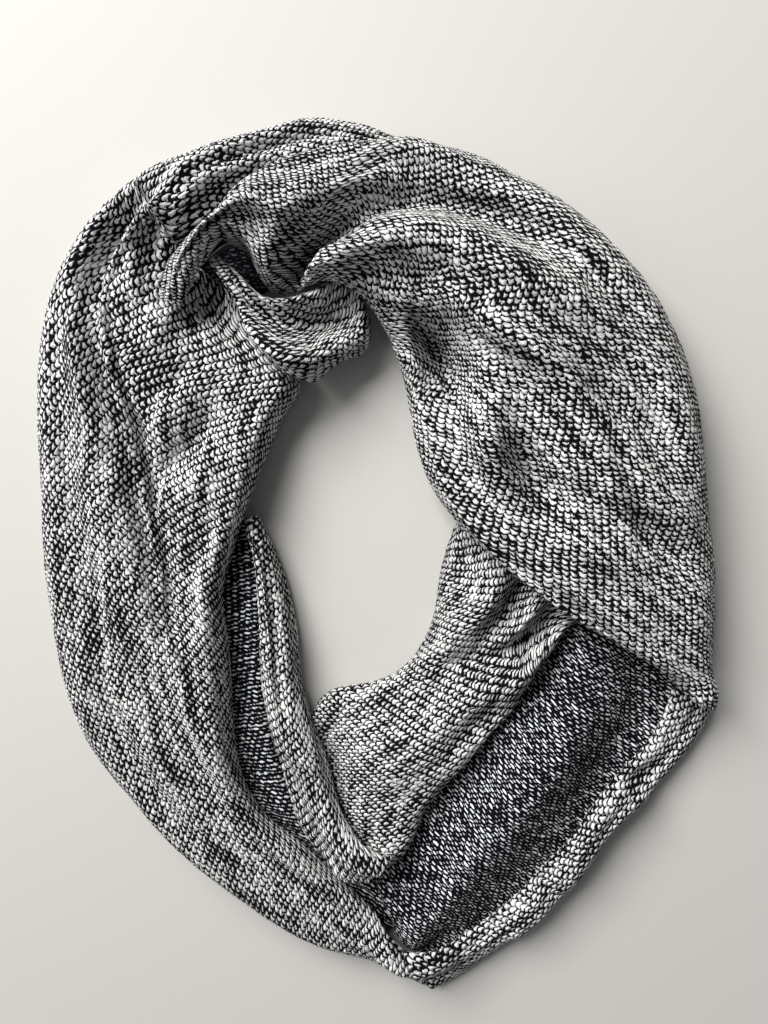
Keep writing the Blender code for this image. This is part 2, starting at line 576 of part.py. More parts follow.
def solid(name, vertices, faces):
    """A named object with the given faces, turned to point outwards, in its own material."""
    mesh = bpy.data.meshes.new(name)
    mesh.from_pydata((vertices * MM).tolist(), [], [tuple(int(k) for k in face) for face in faces])
    if signed_volume(mesh) < 0:
        mesh.flip_normals()
    mesh.shade_smooth()
    mesh.materials.append(wool(name))
    part = bpy.data.objects.new(name, mesh)
    bpy.context.collection.objects.link(part)
    return part


def signed_volume(mesh):
    """Volume inside a mesh, below zero where its faces point inwards."""
    total = 0.0
    for face in mesh.polygons:
        corners = [mesh.vertices[k].co for k in face.vertices]
        for k in range(1, len(corners) - 1):
            total += corners[0].dot(corners[k].cross(corners[k + 1])) / 6
    return total


def wool(name):
    """Knitted two-yarn wool, pale on its face and dark on its reverse."""
    colour = REVERSE_WOOL if name in REVERSE_SIDES else FACE_WOOL
    material = bpy.data.materials.new(name + "_wool")
    material.use_nodes = True
    shader = material.node_tree.nodes["Principled BSDF"]
    shader.inputs["Base Color"].default_value = (*colour, 1)
    shader.inputs["Roughness"].default_value = WOOL_ROUGHNESS
    shader.inputs["Metallic"].default_value = 0.0
    return material


for item in list(bpy.data.objects):
    bpy.data.objects.remove(item)

# Lay the stretches down in turn, each on what is already there.
sides = []
ground = height_map([], np.maximum, -np.inf)
for name, sections, folds, lap, stations, across in STRETCHES:
    surface = laid_on(stretch_surface(sections, folds, lap, stations, across), ground)
    ground = np.maximum(ground, height_map([surface], np.maximum, -np.inf))
    sides += [surface, thicken(surface)]
    wall_mesh(name, surface)

# Fill what they hide.
core_mesh(height_map(sides, np.minimum, np.inf))
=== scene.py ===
"""Infinity scarf: a seamed loop of two-yarn knit, wound round twice and laid down in a gathered ring.

Sizes are millimetres until a mesh is made, then metres. The stretches are laid from the floor up.
"""

import math

import bpy
import numpy as np
from mathutils import Matrix, Vector


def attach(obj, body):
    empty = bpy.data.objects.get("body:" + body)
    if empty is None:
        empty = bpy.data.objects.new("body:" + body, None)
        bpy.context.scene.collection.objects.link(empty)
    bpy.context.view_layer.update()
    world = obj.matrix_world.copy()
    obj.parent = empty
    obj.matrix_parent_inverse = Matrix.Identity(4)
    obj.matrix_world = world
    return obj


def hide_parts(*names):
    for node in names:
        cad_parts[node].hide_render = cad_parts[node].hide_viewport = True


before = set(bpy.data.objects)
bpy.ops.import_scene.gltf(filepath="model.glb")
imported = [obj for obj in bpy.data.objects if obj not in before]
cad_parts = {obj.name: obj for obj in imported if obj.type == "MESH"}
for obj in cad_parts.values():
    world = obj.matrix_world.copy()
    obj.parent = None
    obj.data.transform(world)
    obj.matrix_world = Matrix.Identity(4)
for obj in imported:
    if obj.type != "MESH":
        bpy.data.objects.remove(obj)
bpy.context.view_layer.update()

bpy.ops.object.select_all(action="DESELECT")


# ---- Inner fold -------------------------------------------------------------------------------
# A narrow stretch low down beside the hole, with the dark reverse of the knit uppermost. It is
# wool and acrylic jersey in two yarns, and it lies on the surface below the left sweep.

MM = 0.001
WALL = 2.5              # thickness of the cloth
ROLL_UNDER = 3.5        # radius of a rolled edge below its widest line
ROLL_CLEAR = 0.6        # least height of its underside
ROLL_END = 165          # degrees round the roll at which the sheet ends
ROLL_MOST = 0.9         # greatest share of a stretch's width that its two rolls take
ROLL_POINTS = 30        # points round the upper part of a roll
UNDER_POINTS = 8        # points round its part below the widest line
TOP_POINTS = 90         # points from roll to roll
FOLD_POINTS = 41        # points along a fold
FOLD_ENDS = 0.08        # part of a half turn by which a fold's sine starts late and ends early
FOLD_FADE = 0.7         # how fast a fold fades towards its ends
LAYER_GAP = 0.5         # clear space between one layer and the next
REST_REACH = 12.0       # a layer rests on what lies within this distance
SAG_REACH = 4.0         # and bends softly over this distance
CELL = 2.0              # spacing of the height maps
MAP_HALF_X = 200.0      # half the size of the height maps
MAP_HALF_Y = 250.0
WALE = 3.4              # from one column of stitches to the next
COURSE = 2.3            # from one row of stitches to the next
WALE_RELIEF = 0.35      # how far a column of stitches stands out
PUCKER = (0.3, 14.0)    # height and size of the cloth's own soft lumps
TENSION = (0.8, 9.0)    # height and width of the fine ridges that run along a stretch
TENSION_LENGTH = 7.0    # how many times as long as wide they are
TENSION_WANDER = (6, 60)    # how far they wander sideways, and over what length
ACROSS_EVENED = 9       # sections on each side over which the rolled-out width is averaged
MIDDLE_EVENED = 30      # the rolled-out middle line is averaged over this part of the stretch
FACES_UP = 0.35         # a place counts as on top where its normal points up at least this much
GRAIN_SPAN = 6          # points on each side over which the lie of the cloth is read

# Sections across the stretch, from the hole outwards, one to a row: x, y and height of the inner
# edge, reach of its roll, height of the top beside that roll, halfway and beside the outer roll, then
# reach of the outer roll and height, x and y of its edge. An edge is the widest line of its roll.
INNER_FOLD = (
    (-63,   26, 6, 4, 11, 11, 11, 4, 6, -72,   30),
    (-59,    6, 6, 4, 13, 13, 13, 4, 7, -80,    6),
    (-57,  -20, 7, 4, 15, 15, 15, 4, 8, -83,  -21),
    (-55,  -47, 8, 4, 16, 16, 15, 4, 8, -82,  -48),
    (-53,  -74, 8, 4, 17, 16, 15, 4, 8, -80,  -75),
    (-48, -100, 9, 4, 17, 16, 14, 4, 7, -76, -104),
    (-40, -120, 9, 4, 17, 15, 13, 4, 6, -67, -126),
    (-28, -142, 7, 4, 13, 11, 10, 4, 5, -52, -144),
    (-12, -160, 5, 4, 10,  9,  8, 4, 4, -32, -161),
    (  8, -172, 4, 4,  8,  8,  7, 4, 4, -15, -176),
    ( 22, -193, 4, 4,  7,  7,  7, 4, 4,   2, -192),
)
IN_LOW, IN_REACH, IN_TOP, MID_TOP, OUT_TOP, OUT_REACH, OUT_LOW = range(2, 9)
INNER_EDGE = slice(0, 2)
OUTER_EDGE = slice(9, 11)

# The lie of the knit seen from above: x and y of a place, degrees of its wales and of its courses.
INNER_FOLD_GRAIN = (
    (-64,   10, 90,   0),
    (-68,  -40, 90,  -2),
    (-66,  -90, 84,  -6),
    (-40, -135, 62, -24),
)


def smooth_rows(table, count, start, end, closed=False):
    """Read `count` rows from a smooth curve through a table, evenly spaced along its middle line."""
    rows = np.array(table, float)
    if closed:
        rows = np.vstack([rows, rows[:1]])
    middle = (rows[:, start] + rows[:, end]) / 2
    along = np.concatenate([[0], np.cumsum(np.linalg.norm(np.diff(middle, axis=0), axis=1))])
    if closed:
        wrapped = np.vstack([rows[-2:-1], rows, rows[1:2]])
        wrapped_along = np.concatenate([[along[-2] - along[-1]], along, [along[-1] + along[1]]])
        slopes = np.gradient(wrapped, wrapped_along, axis=0)[1:-1]
    else:
        slopes = np.gradient(rows, along, axis=0)
    at = np.linspace(0, along[-1], count, endpoint=not closed)
    row = np.clip(np.searchsorted(along, at, side="right") - 1, 0, len(rows) - 2)
    span = (along[row + 1] - along[row])[:, None]
    t = (at - along[row])[:, None] / span
    return (
        (2 * t**3 - 3 * t**2 + 1) * rows[row]
        + (t**3 - 2 * t**2 + t) * span * slopes[row]
        + (3 * t**2 - 2 * t**3) * rows[row + 1]
        + (t**3 - t**2) * span * slopes[row + 1]
    )


def line_length(points):
    """Length of a line through points."""
    return np.linalg.norm(np.diff(points, axis=0), axis=1).sum()


def lap_height(lap, stations, share, top_width):
    """Height that a lap adds: up outside its steep side, down inside it, level further off."""
    if not lap:
        return 0
    along, across, rise = np.array(lap, float).T
    at = np.linspace(0, 100, stations)
    lap_at = np.interp(at, along, across) / 100
    lap_rise = np.interp(at, along, rise, left=0, right=0)
    beyond = (share - lap_at) * top_width
    step = np.tanh(3 * beyond / LAP_WALL) * np.exp(-np.abs(beyond) / LAP_REACH)
    return lap_rise / 2 * step * np.sin(math.pi * share)


def fold_heights(points, folds):
    """Height that the folds add at each point: soft ridges and troughs that fade at both ends."""
    added = np.zeros(points.shape[:-1])
    t = np.linspace(0, 1, FOLD_POINTS)
    fade = np.sin(math.pi * (FOLD_ENDS + (1 - 2 * FOLD_ENDS) * t)) ** FOLD_FADE
    for x1, y1, x2, y2, x3, y3, half_width, height in folds:
        start, past, end = np.array((x1, y1)), np.array((x2, y2)), np.array((x3, y3))
        bend = 2 * past - (start + end) / 2
        line = np.outer((1 - t) ** 2, start) + np.outer(2 * t * (1 - t), bend) + np.outer(t**2, end)
        near = np.abs(points[..., :2] - (start + end) / 2).max(axis=-1)
        reach = np.abs(line - (start + end) / 2).max() + 3 * half_width
        at = near < reach
        away = np.linalg.norm(points[at][:, None, :2] - line, axis=-1)
        strength = fade[away.argmin(axis=-1)] * np.exp(-((away.min(axis=-1) / half_width) ** 2))
        added[at] += height * strength
    return added


def stretch_surface(sections, folds, lap, step):
    """The outer side of a stretch of cloth, as a grid of points about `step` apart each way."""
    rough = smooth_rows(sections, 200, INNER_EDGE, OUTER_EDGE)
    stations = round(max(line_length(rough[:, INNER_EDGE]), line_length(rough[:, OUTER_EDGE])) / step)
    rows = smooth_rows(sections, stations, INNER_EDGE, OUTER_EDGE)
    inner, outer = rows[:, INNER_EDGE], rows[:, OUTER_EDGE]
    width = np.linalg.norm(outer - inner, axis=1)
    outward = (outer - inner) / width[:, None]
    squeeze = np.minimum(1, ROLL_MOST * width / (rows[:, IN_REACH] + rows[:, OUT_REACH]))
    in_reach = rows[:, IN_REACH] * squeeze
    out_reach = rows[:, OUT_REACH] * squeeze
    top_width = width - in_reach - out_reach
    columns = []
    for edge, inward, low, reach, height in (
        (inner, outward, rows[:, IN_LOW], in_reach, rows[:, IN_TOP]),
        (outer, -outward, rows[:, OUT_LOW], out_reach, rows[:, OUT_TOP]),
    ):
        roll = []
        for turn in np.linspace(0, 90, ROLL_POINTS):
            angle = math.radians(turn)
            place = edge + inward * (reach * (1 - math.sin(angle)))[:, None]
            level = height - (height - low) * (1 - math.cos(angle))
            roll.append((place, level, math.cos(angle)))
        under = np.clip(low - ROLL_CLEAR, 0.1, ROLL_UNDER)
        for turn in np.linspace(90, ROLL_END, UNDER_POINTS)[1:]:
            angle = math.radians(turn - 90)
            place = edge + inward * (under * (1 - math.cos(angle)))[:, None]
            roll.append((place, low - under * math.sin(angle), 0))
        columns.append(roll)
    top = []
    for share in np.linspace(0, 1, TOP_POINTS)[1:-1]:
        rise = 3 * share**2 - 2 * share**3
        middle_rise = rows[:, MID_TOP] - (rows[:, IN_TOP] + rows[:, OUT_TOP]) / 2
        level = rows[:, IN_TOP] + (rows[:, OUT_TOP] - rows[:, IN_TOP]) * rise
        level = level + middle_rise * math.sin(math.pi * share) ** 2
        level = level + lap_height(lap, stations, share, top_width)
        top.append((inner + outward * (in_reach + share * top_width)[:, None], level, 1))
    profile = columns[0][::-1] + top + columns[1]
    surface = np.stack([np.column_stack([place, level]) for place, level, _ in profile], axis=1)
    surface[:, :, 2] += fold_heights(surface, folds) * np.array([share for _, _, share in profile])
    return even_columns(surface, step)


def even_columns(surface, step):
    """The same sheet with the points of each section evenly spaced."""
    steps = np.linalg.norm(np.diff(surface, axis=1), axis=-1)
    along = np.concatenate([np.zeros((len(surface), 1)), np.cumsum(steps, axis=1)], axis=1)
    count = round(np.quantile(along[:, -1], 0.8) / step)
    even = np.empty((len(surface), count, 3))
    for row, points, at in zip(even, surface, along):
        wanted = np.linspace(0, at[-1], count)
        for axis in range(3):
            row[:, axis] = np.interp(wanted, at, points[:, axis])
    return even


def outward_normals(surface):
    """Direction in which each point of a sheet faces, up on its top."""
    normal = np.cross(np.gradient(surface, axis=1), np.gradient(surface, axis=0))
    normal /= np.maximum(np.linalg.norm(normal, axis=-1, keepdims=True), 1e-9)
    return normal if normal[:, surface.shape[1] // 2, 2].mean() > 0 else -normal


def height_map(surfaces, pick, empty):
    """Least or greatest height of some surfaces over each cell, and `empty` where there are none."""
    heights = np.full((round(2 * MAP_HALF_Y / CELL) + 1, round(2 * MAP_HALF_X / CELL) + 1), empty)
    for surface in surfaces:
        points = surface.reshape(-1, 3)
        column = np.rint((points[:, 0] + MAP_HALF_X) / CELL).astype(int)
        row = np.rint((points[:, 1] + MAP_HALF_Y) / CELL).astype(int)
        pick.at(heights, (row, column), points[:, 2])
    return heights


def read_map(heights, points):
    """Height of a map at each point, read between its cells."""
    x = (points[..., 0] + MAP_HALF_X) / CELL
    y = (points[..., 1] + MAP_HALF_Y) / CELL
    column, row = x.astype(int), y.astype(int)
    right, up = x - column, y - row
    low = (1 - right) * heights[row, column] + right * heights[row, column + 1]
    high = (1 - right) * heights[row + 1, column] + right * heights[row + 1, column + 1]
    return (1 - up) * low + up * high


def spread(heights, reach, pick):
    """Least or greatest height within `reach` of each cell."""
    cells = round(reach / CELL)
    height, width = heights.shape
    padded = np.pad(heights, cells, mode="edge")
    result = heights
    for row in range(2 * cells + 1):
        for column in range(2 * cells + 1):
            if math.hypot(row - cells, column - cells) <= cells:
                result = pick(result, padded[row : row + height, column : column + width])
    return result


def soften(heights, reach):
    """Mean height within `reach` of each cell."""
    cells = round(reach / CELL)
    for _ in range(2):
        padded = np.pad(heights, [(cells, cells), (0, 0)], mode="edge")
        shifted = [padded[k : k + len(heights)] for k in range(2 * cells + 1)]
        heights = np.mean(shifted, axis=0).T
    return heights


def laid_on(surface, ground):
    """Lift a stretch where it would dip into what already lies there."""
    inside = surface - WALL * outward_normals(surface)
    underside = height_map([surface, inside], np.minimum, np.inf)
    meets = np.isfinite(underside) & np.isfinite(ground)
    lift = np.zeros_like(ground)
    lift[meets] = np.maximum(ground[meets] + LAYER_GAP - underside[meets], 0)
    lift = soften(spread(lift, REST_REACH, np.maximum), SAG_REACH)
    lifted = surface.copy()
    lifted[..., 2] += read_map(lift, surface)
    return lifted


def along_and_across(surface):
    """Distance of each point along the stretch, and across it from its middle column."""
    middle = surface.shape[1] // 2
    steps = np.linalg.norm(np.diff(surface, axis=1), axis=-1)
    across = np.concatenate([np.zeros((len(surface), 1)), np.cumsum(steps, axis=1)], axis=1)
    across -= across[:, middle : middle + 1]
    steps = np.linalg.norm(np.diff(surface[:, middle], axis=0), axis=-1)
    along = np.concatenate([[0], np.cumsum(steps)])
    return np.stack([np.broadcast_to(along[:, None], across.shape), across], -1)


def evened(values, stations):
    """Values averaged along a stretch, so that one fold doesn't pull its neighbours askew."""
    for _ in range(2):
        before = 2 * values[:1] - values[stations:0:-1]
        after = 2 * values[-1:] - values[-2 : -stations - 2 : -1]
        padded = np.concatenate([before, values, after])
        sums = np.cumsum(np.concatenate([padded[:1] * 0, padded]), axis=0)
        values = (sums[2 * stations + 1 :] - sums[: -2 * stations - 1]) / (2 * stations + 1)
    return values


def unrolled(surface):
    """Where each point lies when the cloth is rolled out flat about its middle column."""
    middle = surface.shape[1] // 2
    part = len(surface) // MIDDLE_EVENED
    outward = evened(surface[:, -1, :2] - surface[:, 0, :2], part)
    outward /= np.linalg.norm(outward, axis=1, keepdims=True)
    across = evened(along_and_across(surface)[..., 1:], ACROSS_EVENED)
    return evened(surface[:, middle, :2], part)[:, None] + outward[:, None] * across


def powers(x, y, degree):
    """Each product of powers of x and y up to a degree, with its slopes along x and along y."""
    terms = [(i, k - i) for k in range(1, degree + 1) for i in range(k + 1)]
    value = [x**i * y**j for i, j in terms]
    along_x = [i * x ** max(i - 1, 0) * y**j for i, j in terms]
    along_y = [j * x**i * y ** max(j - 1, 0) for i, j in terms]
    return np.stack(value, -1), np.stack(along_x, -1), np.stack(along_y, -1)


def stitch_counts(surface, grain, degree):
    """Wales and courses counted off at each point, so that the knit lies as the grain table says."""
    flat = unrolled(surface)
    faces_up = outward_normals(surface)[..., 2] > FACES_UP
    span = GRAIN_SPAN
    slope_rows, wanted = [], [[], []]
    for x, y, *turns in grain:
        away = np.hypot(surface[..., 0] - x, surface[..., 1] - y) + np.where(faces_up, 0, 1e3)
        i, j = np.unravel_index(away.argmin(), away.shape)
        i = np.clip(i, span + 1, surface.shape[0] - span - 2)
        j = np.clip(j, span + 1, surface.shape[1] - span - 2)
        seen, rolled_out = (
            np.column_stack([grid[i + span, j] - grid[i - span, j], grid[i, j + span] - grid[i, j - span]])
            for grid in (surface[..., :2], flat)
        )
        for turn, pitch, side, slopes in zip(turns, (WALE, COURSE), (-1, 1), wanted):
            angle = math.radians(turn)
            line = rolled_out @ np.linalg.solve(seen, np.array((math.cos(angle), math.sin(angle))))
            line /= np.linalg.norm(line)
            slopes += [-side * line[1] / pitch, side * line[0] / pitch]
        _, along_x, along_y = powers(flat[i, j, 0] / 100, flat[i, j, 1] / 100, degree)
        slope_rows += [along_x / 100, along_y / 100]
    ease = np.diag([0.0004 * k for k in range(1, degree + 1) for _ in range(k + 1)])
    ease[:2] = 0
    value, _, _ = powers(flat[..., 0] / 100, flat[..., 1] / 100, degree)
    counts = []
    for slopes in wanted:
        target = np.concatenate([slopes, np.zeros(len(ease))])
        weights = np.linalg.lstsq(np.vstack([slope_rows, ease]), target, rcond=None)[0]
        counts.append(value @ weights)
    return np.stack(counts, -1)


def waviness(flat, size, seed):
    """Smooth random heights from -1 to 1 in lumps of about `size`."""
    lattice = np.random.default_rng(seed).uniform(-1, 1, (64, 64))
    cell = np.floor(flat / size).astype(int)
    t = flat / size - cell
    t = t * t * (3 - 2 * t)
    x, y = cell[..., 0], cell[..., 1]
    near = (1 - t[..., 0]) * lattice[y % 64, x % 64] + t[..., 0] * lattice[y % 64, (x + 1) % 64]
    x, y = x, y + 1
    far = (1 - t[..., 0]) * lattice[y % 64, x % 64] + t[..., 0] * lattice[y % 64, (x + 1) % 64]
    return (1 - t[..., 1]) * near + t[..., 1] * far


def knitted(surface, counts, seed, relief):
    """The sheet with its columns of stitches standing out and its own soft lumps."""
    height, size = PUCKER
    flat = unrolled(surface)
    lumps = height * (waviness(flat, size, seed) + 0.4 * waviness(flat, size / 2.7, seed + 50))
    height, size = TENSION
    lie = along_and_across(surface) / (TENSION_LENGTH, 1)
    wander, length = TENSION_WANDER
    lie[..., 1] += wander * waviness(flat, length, seed + 70)
    lumps += height * (waviness(lie, size, seed + 90) + 0.45 * waviness(lie, size / 2.1, seed + 95))
    column = relief * (0.5 - 0.5 * np.cos(2 * math.pi * counts[..., 0]))
    faces_up = np.clip(outward_normals(surface)[..., 2:] * 3 + 0.4, 0, 1)
    return surface + outward_normals(surface) * (column[..., None] + lumps[..., None] * faces_up)


def sheet_mesh(name, surface, counts, lie, closed=False):
    """A sheet of cloth as a mesh, with its stitches counted off in one UV map and its lie in one."""
    rows, columns = surface.shape[:2]
    index = np.arange(rows * columns).reshape(rows, columns)
    if closed:
        index = np.vstack([index, index[:1]])
    corners = [index[:-1, :-1], index[1:, :-1], index[1:, 1:], index[:-1, 1:]]
    faces = np.stack(corners, -1).reshape(-1, 4)
    points = surface.reshape(-1, 3)
    across, along = points[faces[:, 3]] - points[faces[:, 0]], points[faces[:, 1]] - points[faces[:, 0]]
    upright = np.cross(along, across)[:, 2].sum() > 0
    if not upright:
        faces = faces[:, ::-1]
    mesh = bpy.data.meshes.new(name)
    mesh.vertices.add(len(points))
    mesh.vertices.foreach_set("co", (points * MM).ravel())
    mesh.loops.add(faces.size)
    mesh.loops.foreach_set("vertex_index", faces.ravel())
    mesh.polygons.add(len(faces))
    mesh.polygons.foreach_set("loop_start", np.arange(0, faces.size, 4))
    mesh.polygons.foreach_set("loop_total", np.full(len(faces), 4))
    mesh.update(calc_edges=True)
    if closed:
        wraps = (faces // columns == 0).any(axis=1) & (faces // columns == rows - 1).any(axis=1)
    counted = counts.reshape(-1, 2)[faces]
    if closed:      # the faces from the last section to the first count on instead of back to 0
        first = (faces[wraps] // columns == 0)[..., None]
        counted[wraps] += np.where(first, (counts[-1, 0] - counts[0, 0]).round(), 0)
    mesh.uv_layers.new(name="stitches").data.foreach_set("uv", counted.ravel())
    mesh.uv_layers.new(name="lie").data.foreach_set("uv", (lie.reshape(-1, 2)[faces]).ravel())
    mesh.shade_smooth()
    mesh.validate()
    piece = bpy.data.objects.new(name, mesh)
    bpy.context.collection.objects.link(piece)
    return piece


class Wire:
    """A value in a node tree, so that sums can be written as sums."""

    def __init__(self, tree, socket):
        self.tree = tree
        self.socket = socket

    def made(self, kind, *others):
        node = self.tree.nodes.new("ShaderNodeMath")
        node.operation = kind
        for place, value in enumerate((self, *others)):
            feed(self.tree, node.inputs[place], value)
        return Wire(self.tree, node.outputs[0])

    def __add__(self, other):
        return self.made("ADD", other)

    def __sub__(self, other):
        return self.made("SUBTRACT", other)

    def __mul__(self, other):
        return self.made("MULTIPLY", other)

    def eased(self, low, high):
        """0 below `low`, 1 above `high`, and a soft step between."""
        node = self.tree.nodes.new("ShaderNodeMapRange")
        node.interpolation_type = "SMOOTHSTEP"
        for place, value in zip(("Value", "From Min", "From Max"), (self, low, high)):
            feed(self.tree, node.inputs[place], value)
        return Wire(self.tree, node.outputs["Result"])


def feed(tree, socket, value):
    """Link a wire to a socket, or set the socket to a number or colour."""
    if isinstance(value, Wire):
        tree.links.new(value.socket, socket)
    else:
        socket.default_value = value


def joined(tree, x, y, z=0.0):
    """A vector wire from three values."""
    node = tree.nodes.new("ShaderNodeCombineXYZ")
    for place, value in enumerate((x, y, z)):
        feed(tree, node.inputs[place], value)
    return Wire(tree, node.outputs[0])


def soft_noise(tree, place, scale, detail=1.0):
    """Cloudy values round 0.5."""
    node = tree.nodes.new("ShaderNodeTexNoise")
    feed(tree, node.inputs["Vector"], place)
    node.inputs["Scale"].default_value = scale
    node.inputs["Detail"].default_value = detail
    return Wire(tree, node.outputs["Fac"])


def streaks(tree, lie, width):
    """Cloudy values round 0.5 in streaks along a stretch, `width` millimetres wide."""
    node = tree.nodes.new("ShaderNodeMapping")
    feed(tree, node.inputs["Vector"], lie)
    node.inputs["Scale"].default_value = (0.14 / width, 1 / width, 1)
    return soft_noise(tree, Wire(tree, node.outputs[0]), 1.0, 1.5)


def even_chance(tree, place):
    """A random value from 0 to 1 for each whole place."""
    node = tree.nodes.new("ShaderNodeTexWhiteNoise")
    feed(tree, node.inputs["Vector"], place)
    return Wire(tree, node.outputs["Value"])


def blended(tree, share, first, second):
    """One colour where share is 0, the other where it is 1."""
    node = tree.nodes.new("ShaderNodeMix")
    node.data_type = "RGBA"
    for place, value in ((0, share), (6, first), (7, second)):
        feed(tree, node.inputs[place], value)
    return Wire(tree, node.outputs[2])


def knit_group(name, knobs):
    """A new node group that reads a count of stitches and gives a colour and a height."""
    group = bpy.data.node_groups.new(name, "ShaderNodeTree")
    for place in ("Stitches", "Lie"):
        group.interface.new_socket(place, in_out="INPUT", socket_type="NodeSocketVector")
    for knob, start in knobs:
        kind = "NodeSocketFloat" if isinstance(start, float) else "NodeSocketColor"
        group.interface.new_socket(knob, in_out="INPUT", socket_type=kind).default_value = start
    group.interface.new_socket("Colour", in_out="OUTPUT", socket_type="NodeSocketColor")
    group.interface.new_socket("Height", in_out="OUTPUT", socket_type="NodeSocketFloat")
    source = group.nodes.new("NodeGroupInput")
    wires = {socket.name: Wire(group, socket) for socket in source.outputs if socket.name}
    split = group.nodes.new("ShaderNodeSeparateXYZ")
    group.links.new(wires["Stitches"].socket, split.inputs[0])
    return group, wires, Wire(group, split.outputs[0]), Wire(group, split.outputs[1])


def finish_group(group, colour, height):
    """Close a node group with what it gives."""
    ends = group.nodes.new("NodeGroupOutput")
    group.links.new(colour.socket, ends.inputs["Colour"])
    group.links.new(height.socket, ends.inputs["Height"])


# The reverse: a dark yarn all over, and the white yarn's floats as short slanting dashes.
FLOAT_ACROSS = 3.9      # a float of size 1 reaches one part in this many of a column from its middle
FLOAT_ALONG = 5.8       # and one part in this many of a row
reverse_knit, knob, wale, course = knit_group("reverse of two-yarn knit", (
    ("White", (0.78, 0.80, 0.83, 1)),
    ("Dark", (0.0025, 0.003, 0.005, 1)),
    ("White share", 0.45),
    ("Slant", 0.75),
))
tree = reverse_knit
course_here = course + (soft_noise(tree, joined(tree, wale, course, 3.0), 0.5) - 0.5) * 1.2
wale_here = wale + (soft_noise(tree, joined(tree, wale, course, 9.0), 0.6) - 0.5) * 0.8
cloud = streaks(tree, knob["Lie"], 11.0)


def floats(shift, plumpness):
    """One set of slanting dashes, `shift` of a wale along, and the thread that runs under them."""
    across = (wale_here + shift).made("FRACT") - 0.5
    column = (wale_here + shift).made("FLOOR")
    row = course_here + column * 0.5 + across * knob["Slant"] + shift * 0.5
    in_row = row.made("FRACT") - 0.5
    chance = even_chance(tree, joined(tree, column, row.made("FLOOR"), shift))
    fibres = soft_noise(tree, joined(tree, across * 3.0, in_row * 6.0, chance * 40), 2.2, 2.0)
    wide, tall = (across * FLOAT_ACROSS).made("POWER", 2.0), (in_row * FLOAT_ALONG).made("POWER", 2.0)
    from_middle = (wide + tall).made("SQRT")
    size = chance * 0.9 + cloud * 0.6 + knob["White share"] + plumpness
    white = (size - from_middle + (fibres - 0.5) * 0.9).eased(-0.08, 0.14)
    return white * (chance * 0.5 + 0.5), (in_row * math.pi).made("COSINE") * 0.35


tone, round_thread = floats(0.0, 0.0)
thin, _ = floats(0.5, -0.75)
tone = tone.made("MAXIMUM", thin)
finish_group(tree, blended(tree, tone, knob["Dark"], knob["White"]), tone * 0.8 + round_thread)


def cloth_material(name, knit, relief, **knobs):
    """Soft matt wool in one of the knits, with the stitches raised and a little fuzz."""
    material = bpy.data.materials.new(name)
    material.use_nodes = True
    tree = material.node_tree
    shader = tree.nodes["Principled BSDF"]
    yarns = tree.nodes.new("ShaderNodeGroup")
    yarns.node_tree = knit
    for uv_map in ("stitches", "lie"):
        places = tree.nodes.new("ShaderNodeUVMap")
        places.uv_map = uv_map
        tree.links.new(places.outputs[0], yarns.inputs[uv_map.capitalize()])
    for knob_name, value in knobs.items():
        yarns.inputs[knob_name.replace("_", " ").capitalize()].default_value = value
    bump = tree.nodes.new("ShaderNodeBump")
    bump.inputs["Strength"].default_value = 1.0
    bump.inputs["Distance"].default_value = relief * MM
    tree.links.new(yarns.outputs["Height"], bump.inputs["Height"])
    tree.links.new(yarns.outputs["Colour"], shader.inputs["Base Color"])
    tree.links.new(bump.outputs[0], shader.inputs["Normal"])
    shader.inputs["Roughness"].default_value = 0.92
    shader.inputs["Specular IOR Level"].default_value = 0.06
    shader.inputs["Sheen Weight"].default_value = 0.015
    shader.inputs["Sheen Roughness"].default_value = 0.6
    return material


def lay_stretch(name, sections, folds, lap, grain, degree, material, step, relief=WALE_RELIEF, lean=0.0):
    """Lay one stretch on what already lies there, and give its node's place to it."""
    global ground
    surface = laid_on(stretch_surface(sections, folds, lap, step), ground)
    ground = np.maximum(ground, height_map([surface], np.maximum, -np.inf))
    laid.extend([surface, surface - WALL * outward_normals(surface)])
    own = len(laid)                 # gives each stretch lumps and streaks of its own
    counts = stitch_counts(surface, grain, degree)
    raised = knitted(surface, counts, own, relief)
    lie = along_and_across(surface)
    lie[..., 1] -= lean * np.maximum(lie[..., 0] - STREAKS_TURN, 0) ** 2 / (lie[..., 0] + STREAKS_TURN)
    piece = sheet_mesh(name + "_cloth", raised, counts, lie + STREAKS_APART * own)
    piece.data.materials.append(material)
    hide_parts(name)
    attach(piece, "root")
    return piece


STREAKS_TURN = 40.0     # distance from a stretch's start where the yarn's streaks begin to lean
STREAKS_APART = 500     # how far apart the stretches lie in the pattern of streaks
ground = height_map([], np.maximum, -np.inf)
laid = []
reverse_wool = cloth_material("reverse_wool", reverse_knit, 0.9)
fold_wool = cloth_material("fold_wool", reverse_knit, 0.9, slant=0.0)
inner_fold = lay_stretch(
    "inner_fold", INNER_FOLD, (), (), INNER_FOLD_GRAIN, 2, fold_wool, 0.85, relief=0.15
)


# ---- Reverse panel ----------------------------------------------------------------------------
# The wide stretch at the lower right, turned over so that the dark reverse shows. It is the same
# jersey, pulled tight over the layers below and lying down to its rolled rim.

